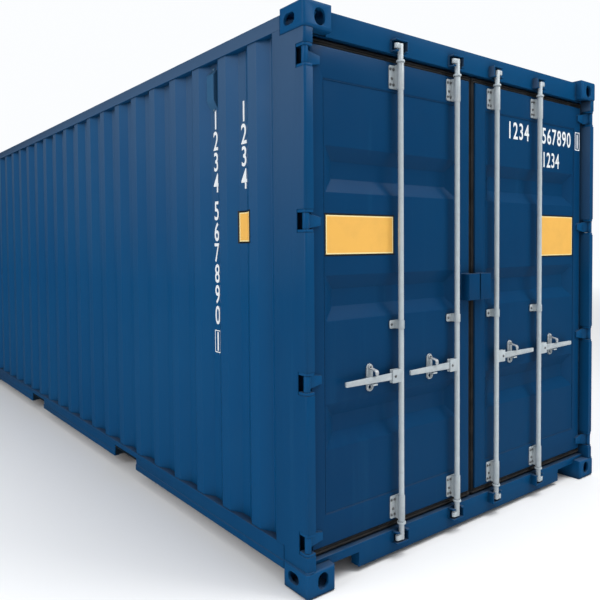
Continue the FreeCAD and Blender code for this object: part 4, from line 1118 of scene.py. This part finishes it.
def hasp_mesh(place):
    """A flat strap, bent forward below its round eye and down before the handle."""
    eye_x = place + away(place) * CATCH_PLACE
    line = hasp_line()
    work = bmesh.new()
    rings = []
    for k, (y, z) in enumerate(line):
        before, after = line[max(k - 1, 0)], line[min(k + 1, len(line) - 1)]
        along = Vector((0.0, after[0] - before[0], after[1] - before[1])).normalized()
        thick = Vector((1, 0, 0)).cross(along) * HASP_GAUGE / 2
        from_foot = min(1.0, max(0.0, (z - hasp_low.z) / HASP_HALF))
        half = HASP_HALF * max(0.35, math.sqrt(1.0 - (1.0 - from_foot) ** 2))
        middle, wide = Vector((eye_x, y, z)), Vector((half, 0, 0))
        rings.append([middle + wide + thick, middle - wide + thick,
                      middle - wide - thick, middle + wide - thick])
    lofted(work, rings, cap_last=True)
    work.verts.ensure_lookup_table()
    work.faces.new([work.verts[k] for k in (3, 2, 1, 0)])
    disc = [[(eye_x + r * math.cos(a), y, HASP_Z + r * math.sin(a))
             for a in [2 * math.pi * k / 24 for k in range(24)]]
            for r, y in ((EYE_ROUND - 0.001, hasp_high.y), (EYE_ROUND, hasp_high.y - 0.001),
                         (EYE_ROUND, EYE_FRONT + 0.001), (EYE_ROUND - 0.001, EYE_FRONT))]
    first = len(work.verts)
    lofted(work, disc, cap_last=True)
    work.verts.ensure_lookup_table()
    work.faces.new([work.verts[first + k] for k in range(23, -1, -1)])
    bmesh.ops.recalc_face_normals(work, faces=work.faces)
    return mesh_of("hasp", work)


HASP_ZINC = zinc_finish("hasp_zinc", 0.45, Zinc=(0.62, 0.65, 0.67, 1.0), Bloom=0.3)
hasps = []
for k, place in enumerate(BAR_PLACES, 1):
    hasp = added_piece("hasp_%d_strap" % k, hasp_mesh(place), "hasp_%d" % k,
                       "galvanised_steel", HASP_ZINC)
    smoothed(hasp, 40)
    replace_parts(hasp, "hasp_%d" % k)
    hasps.append(hasp)

handle_rivets = []
for k, place in enumerate(BAR_PLACES, 1):
    spots = [(place + away(place) * HANDLE_PIVOT, BAR_AXIS_Y - CHEEK_REACH, HANDLE_Z)]
    handle_rivets.append(fastened("handle_rivet_%d" % k, spots, 0.0062, 0.003, 0.0075,
                                  TO_FRONT, "bar_%d" % k, "galvanised_steel", BOLT_STEEL_AND_SHADE))
catch_rivets = []
for side, places in DOOR_BARS:
    spots = [(place + away(place) * CATCH_PLACE, EYE_FRONT, HASP_Z) for place in places]
    catch_rivets.append(fastened(side + "_hasp_rivets", spots, 0.0056, 0.003, 0.0066,
                                 TO_FRONT, side + "_door", "galvanised_steel", BOLT_STEEL_AND_SHADE))

CATCH_MIDDLE, CATCH_TALL, CATCH_WIDE = 0.913, 0.132, 0.042
RIM_HEIGHT, RIM_INSET, RIM_LEG, RIM_STEPS = 0.0075, 0.0035, 0.010, 14
RIM_POINTS = RIM_STEPS + 3


def catch_rim(place):
    """The raised rim of a catch's lower lobe, as a path."""
    centre_x = place + away(place) * CATCH_PLACE
    centre_z = CATCH_MIDDLE - CATCH_TALL / 2 + CATCH_WIDE / 2
    reach = CATCH_WIDE / 2 - RIM_INSET
    rim_y, top_z = panel_y - RIM_HEIGHT, centre_z + RIM_LEG
    arc = [(centre_x + reach * math.cos(a), rim_y, centre_z + reach * math.sin(a))
           for a in [math.pi + math.pi * k / RIM_STEPS for k in range(RIM_STEPS + 1)]]
    return [(arc[0][0], rim_y, top_z)] + arc + [(arc[-1][0], rim_y, top_z)]


rims = []
for side, places in DOOR_BARS:
    rim = tree_run(side + "_catch_rims", WELD_BEAD,
                   [p for place in places for p in catch_rim(place)],
                   [(RIM_POINTS * n + k, RIM_POINTS * n + k + 1)
                    for n in range(2) for k in range(RIM_POINTS - 1)],
                   Bead=0.0032, Ripple=0.0, Step=0.003, Finish=GALVANISED)
    rim.data.shade_smooth()
    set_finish(rim, "galvanised_steel")
    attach(rim, side + "_door")
    rims.append(rim)


# ---------------------------------------------------------------- padlock cover
# A folded steel cover is welded over the meeting edge of the leaves at chest height, half
# on each leaf, to keep bolt cutters away from a padlock inside it.
covers = [softened(side + "_lock_box", 0.003, "container_paint", SHADED_DOOR_PAINT)
          for side in ("left", "right")]
cover_low, cover_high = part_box("left_lock_box")
cover_welds = []
for side, sign in (("left", -1), ("right", 1)):
    edge, weld_y = sign * abs(cover_low.x), leaf_front - 0.0003
    path = [(edge, weld_y, cover_low.z + 0.004), (edge, weld_y, cover_high.z),
            (sign * 0.030, weld_y, cover_high.z)]
    cover_welds.append(welded(side + "_cover_weld", [path], 0.003, side + "_door", SHADED_DOOR_PAINT))


# ---------------------------------------------------------------- markings and label plates
# Plain running digits are cut from white film, in the places where a container's marks
# go.  The amber plates, edged dark and pale, are blank.  Film on the sides follows the sheet.
def film_finish(name, colour, grain_scale, worn):
    """Printed film: slightly uneven ink, faint scratches and a soft gloss."""
    finish, tree, shader, fed = new_finish(name)
    cloud = noise(tree, object_place(tree), grain_scale, 7.0, 0.65)
    shade = tinted(tree, between(tree, cloud, 0.45, 0.8, 0.0, worn), (*colour, 1.0),
                   tuple(0.72 * part for part in colour) + (1.0,))
    handed_out(tree, fed, shade, between(tree, cloud, 0.3, 0.7, 0.35, 0.5),
               bumped(tree, cloud, 0.15, 0.0005))
    return finish


WHITE_FILM = film_finish("white_film", (0.80, 0.83, 0.84), 30.0, 0.4)
AMBER_FILM = film_finish("amber_film", (0.86, 0.47, 0.09), 9.0, 0.3)
PALE_FILM = film_finish("pale_margin_film", (0.90, 0.74, 0.36), 12.0, 0.2)
DARK_FILM = film_finish("dark_edge_film", (0.012, 0.011, 0.010), 20.0, 0.3)
FILM_GAUGE = 0.0006
digit_shapes = {}


def digit_shape(sign):
    """One digit's flat outline as a list of points and faces, from 0 to 1 in height."""
    if sign not in digit_shapes:
        letters = bpy.data.curves.new("digit", "FONT")
        letters.body = sign
        letters.resolution_u = 4
        letters.offset = 0.012
        piece = shown("digit", letters)
        flat = evaluated_mesh(piece)
        points = [v.co.xy.copy() for v in flat.vertices]
        left, right = min(p.x for p in points), max(p.x for p in points)
        foot, head = min(p.y for p in points), max(p.y for p in points)
        tall = head - foot
        places = [((p.x - (left + right) / 2) / tall, (p.y - foot) / tall) for p in points]
        faces = [tuple(face.vertices) for face in flat.polygons]
        digit_shapes[sign] = (places, faces, (right - left) / tall)
        bpy.data.objects.remove(piece)
        bpy.data.curves.remove(letters)
        bpy.data.meshes.remove(flat)
    return digit_shapes[sign]


def digits(work, text, starts, tall, wide, to_place):
    """Adds digits, each centred at its start (u, v of its foot), as flat faces."""
    for sign, (u, v) in zip(text, starts):
        places, faces = digit_shape(sign)[:2]
        stretch = wide / digit_shape("0")[2]
        points = [work.verts.new(to_place(u + x * stretch, v + z * tall)) for x, z in places]
        for face in faces:
            work.faces.new([points[k] for k in face])


def frame_box(work, u_span, v_span, line, to_place):
    """A thin rectangular outline round a digit."""
    outer = ring_points((u_span, v_span), 0.004, 2)
    inner = ring_points(shrunk((u_span, v_span), line), 0.002, 2)
    lofted(work, [[to_place(u, v) for u, v in outer], [to_place(u, v) for u, v in inner]])


def turned_outward_each(mesh, outward):
    """Flips each face that looks away from the outward direction."""
    for face in mesh.polygons:
        if face.normal.dot(outward) < 0:
            face.flip()
    mesh.update()


def film_piece(name, work, body, outward, *finishes, slot="white_marking"):
    """Flat film given its gauge, standing just proud of what it lies on."""
    bmesh.ops.remove_doubles(work, verts=work.verts, dist=0.00002)
    mesh = mesh_of(name, work)
    turned_outward_each(mesh, outward)
    piece = shown(name, mesh)
    for finish in finishes:
        mesh.materials.append(finish)
    gauge = piece.modifiers.new("gauge", "SOLIDIFY")
    gauge.thickness = FILM_GAUGE
    gauge.offset = 1.0
    settled(piece)
    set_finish(piece, slot)
    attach(piece, body)
    return piece


FILM_LIFT = 0.0003


def on_door(u, v):
    return (u, panel_y - FILM_LIFT, v)


def on_stile(u, v):
    return (u, leaf_front - FILM_LIFT, v)


def in_row(start, foot, step, count):
    """Digits set side by side."""
    return [(start + k * step, foot) for k in range(count)]


DOOR_DIGIT, DOOR_STEP = 0.098, 0.0573
marks = bmesh.new()
digits(marks, "1234", in_row(0.356, 2.159, DOOR_STEP, 4), DOOR_DIGIT, 0.046, on_door)
digits(marks, "567890", in_row(0.716, 2.160, DOOR_STEP, 6), DOOR_DIGIT, 0.046, on_door)
digits(marks, "1", [(1.100, 2.163)], 0.090, 0.046, on_stile)
frame_box(marks, (1.072, 1.128), (2.150, 2.268), 0.006, on_stile)
digits(marks, "1234", in_row(0.717, 2.017, 0.050, 4), 0.093, 0.042, on_door)
door_marks = film_piece("door_markings", marks, "right_door", Vector((0, -1, 0)), WHITE_FILM)


def label_plate(works, u_span, v_span, rims, to_place):
    """A plate with a dark edge, a pale margin and an amber face, on a fine grid."""
    (u0, u1), (v0, v1) = u_span, v_span
    inset = sum(rims)
    us = [u0, u0 + rims[0], u0 + inset]
    us += [u0 + inset + (u1 - u0 - 2 * inset) * k / 24 for k in range(1, 25)]
    us += [u1 - rims[0], u1]
    vs = [v0, v0 + rims[0], v0 + inset, v1 - inset, v1 - rims[0], v1]
    for i in range(len(us) - 1):
        for j in range(len(vs) - 1):
            ring = min(i, j, len(us) - 2 - i, len(vs) - 2 - j, 2)
            corners = ((us[i], vs[j]), (us[i + 1], vs[j]), (us[i + 1], vs[j + 1]),
                       (us[i], vs[j + 1]))
            works[ring].faces.new([works[ring].verts.new(to_place(u, v)) for u, v in corners])


def label(name, u_span, v_span, rims, to_place, body, outward):
    """A whole label as three films: its edge, its margin and its face."""
    works = [bmesh.new() for _ in range(3)]
    label_plate(works, u_span, v_span, rims, to_place)
    return [film_piece(name + part, work, body, outward, finish, slot="label_film")
            for part, work, finish in (("_edge", works[0], DARK_FILM),
                                       ("_margin", works[1], PALE_FILM),
                                       ("", works[2], AMBER_FILM))]


labels = []
for side, u_span, v_span in (("left", (-1.058, -0.611), (1.496, 1.690)),
                             ("right", (0.640, 1.056), (1.462, 1.722))):
    labels += label(side + "_label", u_span, v_span, (0.008, 0.006), on_door, side + "_door",
                    Vector((0, -1, 0)))

wall_tree = BVHTree.FromObject(left_wall, bpy.context.evaluated_depsgraph_get())


def on_side(u, v):
    """A point of the left wall's outside, u along the wall and v its height."""
    hit = wall_tree.ray_cast(Vector((low.x - 0.1, -u, v)), Vector((1, 0, 0)))[0]
    return (hit.x - FILM_LIFT, -u, v)


SIDE_DIGIT, SIDE_STEP, SIDE_TOP, GROUP_GAP, BOX_GAP = 0.100, 0.1107, 2.160, 0.036, 0.030
marks = bmesh.new()
digits(marks, "1234", [(2.485, SIDE_TOP - k * SIDE_STEP) for k in range(4)], SIDE_DIGIT, 0.050,
       on_side)
column = [SIDE_TOP - k * SIDE_STEP for k in range(4)]
column += [column[-1] - GROUP_GAP - (k + 1) * SIDE_STEP for k in range(6)]
column += [column[-1] - BOX_GAP - SIDE_STEP]
digits(marks, "12345678901", [(2.213, v) for v in column], SIDE_DIGIT, 0.048, on_side)
frame_box(marks, (2.182, 2.241), (column[-1] - 0.010, column[-1] + 0.110), 0.005, on_side)
side_marks = film_piece("side_markings", marks, "frame", Vector((-1, 0, 0)), WHITE_FILM)
side_labels = label("side_label", (2.430, 2.586), (1.558, 1.720), (0.009, 0.005), on_side,
                    "frame", Vector((-1, 0, 0)))


# ---------------------------------------------------------------- far end
# The other end has the same doors, seals and locking gear, kept shut.  They are copies of
# this end's pieces turned half round, with the marks of the sides and doors.
def far_copy(name, pieces, slot, *replaced):
    """Copies of pieces joined and turned half round on the frame."""
    copies = []
    for piece in pieces:
        twin = piece.copy()
        twin.data = piece.data.copy()
        twin.parent = None
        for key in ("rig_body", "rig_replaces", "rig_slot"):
            if key in twin:
                del twin[key]
        bpy.context.scene.collection.objects.link(twin)
        twin.data.transform(HALF_ROUND)
        copies.append(twin)
    with bpy.context.temp_override(active_object=copies[0], selected_editable_objects=copies,
                                   selected_objects=copies):
        bpy.ops.object.join()
    far = copies[0]
    far.name = name
    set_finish(far, slot)
    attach(far, "frame")
    if replaced:
        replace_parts(far, *replaced)
    return far


far_copy("far_doors", [left_leaf, right_leaf, left_seams, right_seams], "container_paint",
         "far_door_leaves")
far_copy("far_seals", seals, "gasket_rubber", "far_door_gaskets")
far_copy("far_hinges", blades + blade_welds, "container_paint", "far_door_hinges")
far_copy("far_bars_and_handles", bars + handles + handle_rivets, "galvanised_steel",
         "far_locking_bars")
far_copy("far_brackets", brackets + bolts, "galvanised_steel", "far_bar_brackets")
far_copy("far_catches_and_hasps", catches + hasps + catch_rivets + rims, "galvanised_steel",
         "far_handle_catches")
far_copy("far_padlock_cover", covers + cover_welds, "container_paint", "far_lock_box")
far_copy("far_white_marks", [door_marks, side_marks], "white_marking")
far_copy("far_labels", labels + side_labels, "label_film")


# ---------------------------------------------------------------- studio
# A pale studio floor and soft light, with the camera at a standing person's height.
floor_mesh = bpy.data.meshes.new("studio_floor")
floor_mesh.from_pydata([(-60, -60, -0.001), (60, -60, -0.001), (60, 60, -0.001),
                        (-60, 60, -0.001)], [], [(0, 1, 2, 3)])
studio_floor = shown("studio_floor", floor_mesh)
pale, ground, pale_shader, _ = new_finish("studio_floor")
paths = put(ground, "ShaderNodeLightPath").outputs
floor_tone = tinted(ground, paths["Is Glossy Ray"], (0.92, 0.92, 0.92, 1),
                    (0.12, 0.13, 0.14, 1))
reach = put(ground, "ShaderNodeVectorMath", {"Vector": object_place(ground)},
            operation="LENGTH").outputs["Value"]
far_off = sums(ground, "MULTIPLY", between(ground, reach, 5.0, 20.0), paths["Is Camera Ray"])
BACKDROP, BLACK = (0.97, 0.985, 1.0, 1.0), (0.0, 0.0, 0.0, 1.0)
ground.links.new(tinted(ground, far_off, floor_tone, BLACK), pale_shader.inputs["Base Color"])
ground.links.new(tinted(ground, far_off, BLACK, BACKDROP),
                 pale_shader.inputs["Emission Color"])
pale_shader.inputs["Emission Strength"].default_value = 1.0
pale_shader.inputs["Roughness"].default_value = 0.9
floor_mesh.materials.append(pale)

SKY_GLOW, SKY_IN_GLOSS = 0.68, 0.05
world = bpy.data.worlds.new("studio_sky")
bpy.context.scene.world = world
world.use_nodes = True
sky = world.node_tree
dome = sky.nodes["Background"]
dome.inputs["Color"].default_value = BACKDROP
rays = put(sky, "ShaderNodeLightPath").outputs
glow = sums(sky, "SUBTRACT", SKY_GLOW, sums(sky, "MULTIPLY", rays["Is Glossy Ray"],
                                            SKY_GLOW - SKY_IN_GLOSS))
glow = sums(sky, "ADD", glow, sums(sky, "MULTIPLY", rays["Is Camera Ray"], 1.0 - SKY_GLOW))
sky.links.new(glow, dome.inputs["Strength"])


def lamp(name, place, target, size, power, colour):
    """A large soft light aimed at a point."""
    light = bpy.data.lights.new(name, "AREA")
    light.shape = "SQUARE"
    light.size = size
    light.energy = power
    light.color = colour
    fitting = shown(name, light)
    fitting.location = place
    aim = Vector(target) - Vector(place)
    fitting.rotation_euler = aim.to_track_quat("-Z", "Y").to_euler()


lamp("key", (3.2, -7.6, 7.4), (0, -3, 1.6), 3.0, 190.0, (1.0, 0.99, 0.97))
lamp("overhead", (0.6, -5.6, 9.5), (0, -3, 1.0), 4.0, 430.0, (0.98, 0.99, 1.0))
lamp("fill", (-10.0, -2.0, 6.0), (0, 0, 1.2), 6.0, 400.0, (0.97, 0.98, 1.0))

CAMERA_PLACE = (-2.8906, -5.1448, 1.5481)
CAMERA_YAW, CAMERA_DIP, CAMERA_ROLL = 0.66350, 0.0332, -0.0075
camera_data = bpy.data.cameras.new("camera")
camera_data.lens = 38.073
camera_data.sensor_width = 36.0
camera_data.shift_x = -0.0033
camera_data.shift_y = -0.0568
camera_data.clip_start = 0.05
camera_data.clip_end = 300.0
camera = shown("camera", camera_data)
camera.location = CAMERA_PLACE
ahead = Vector((math.sin(CAMERA_YAW) * math.cos(CAMERA_DIP),
                math.cos(CAMERA_YAW) * math.cos(CAMERA_DIP), -math.sin(CAMERA_DIP)))
turn = ahead.to_track_quat("-Z", "Y").to_matrix() @ Matrix.Rotation(CAMERA_ROLL, 3, "Z")
camera.rotation_euler = turn.to_euler()
bpy.context.scene.camera = camera
bpy.context.scene.view_settings.view_transform = "Standard"
bpy.context.scene.view_settings.look = "None"
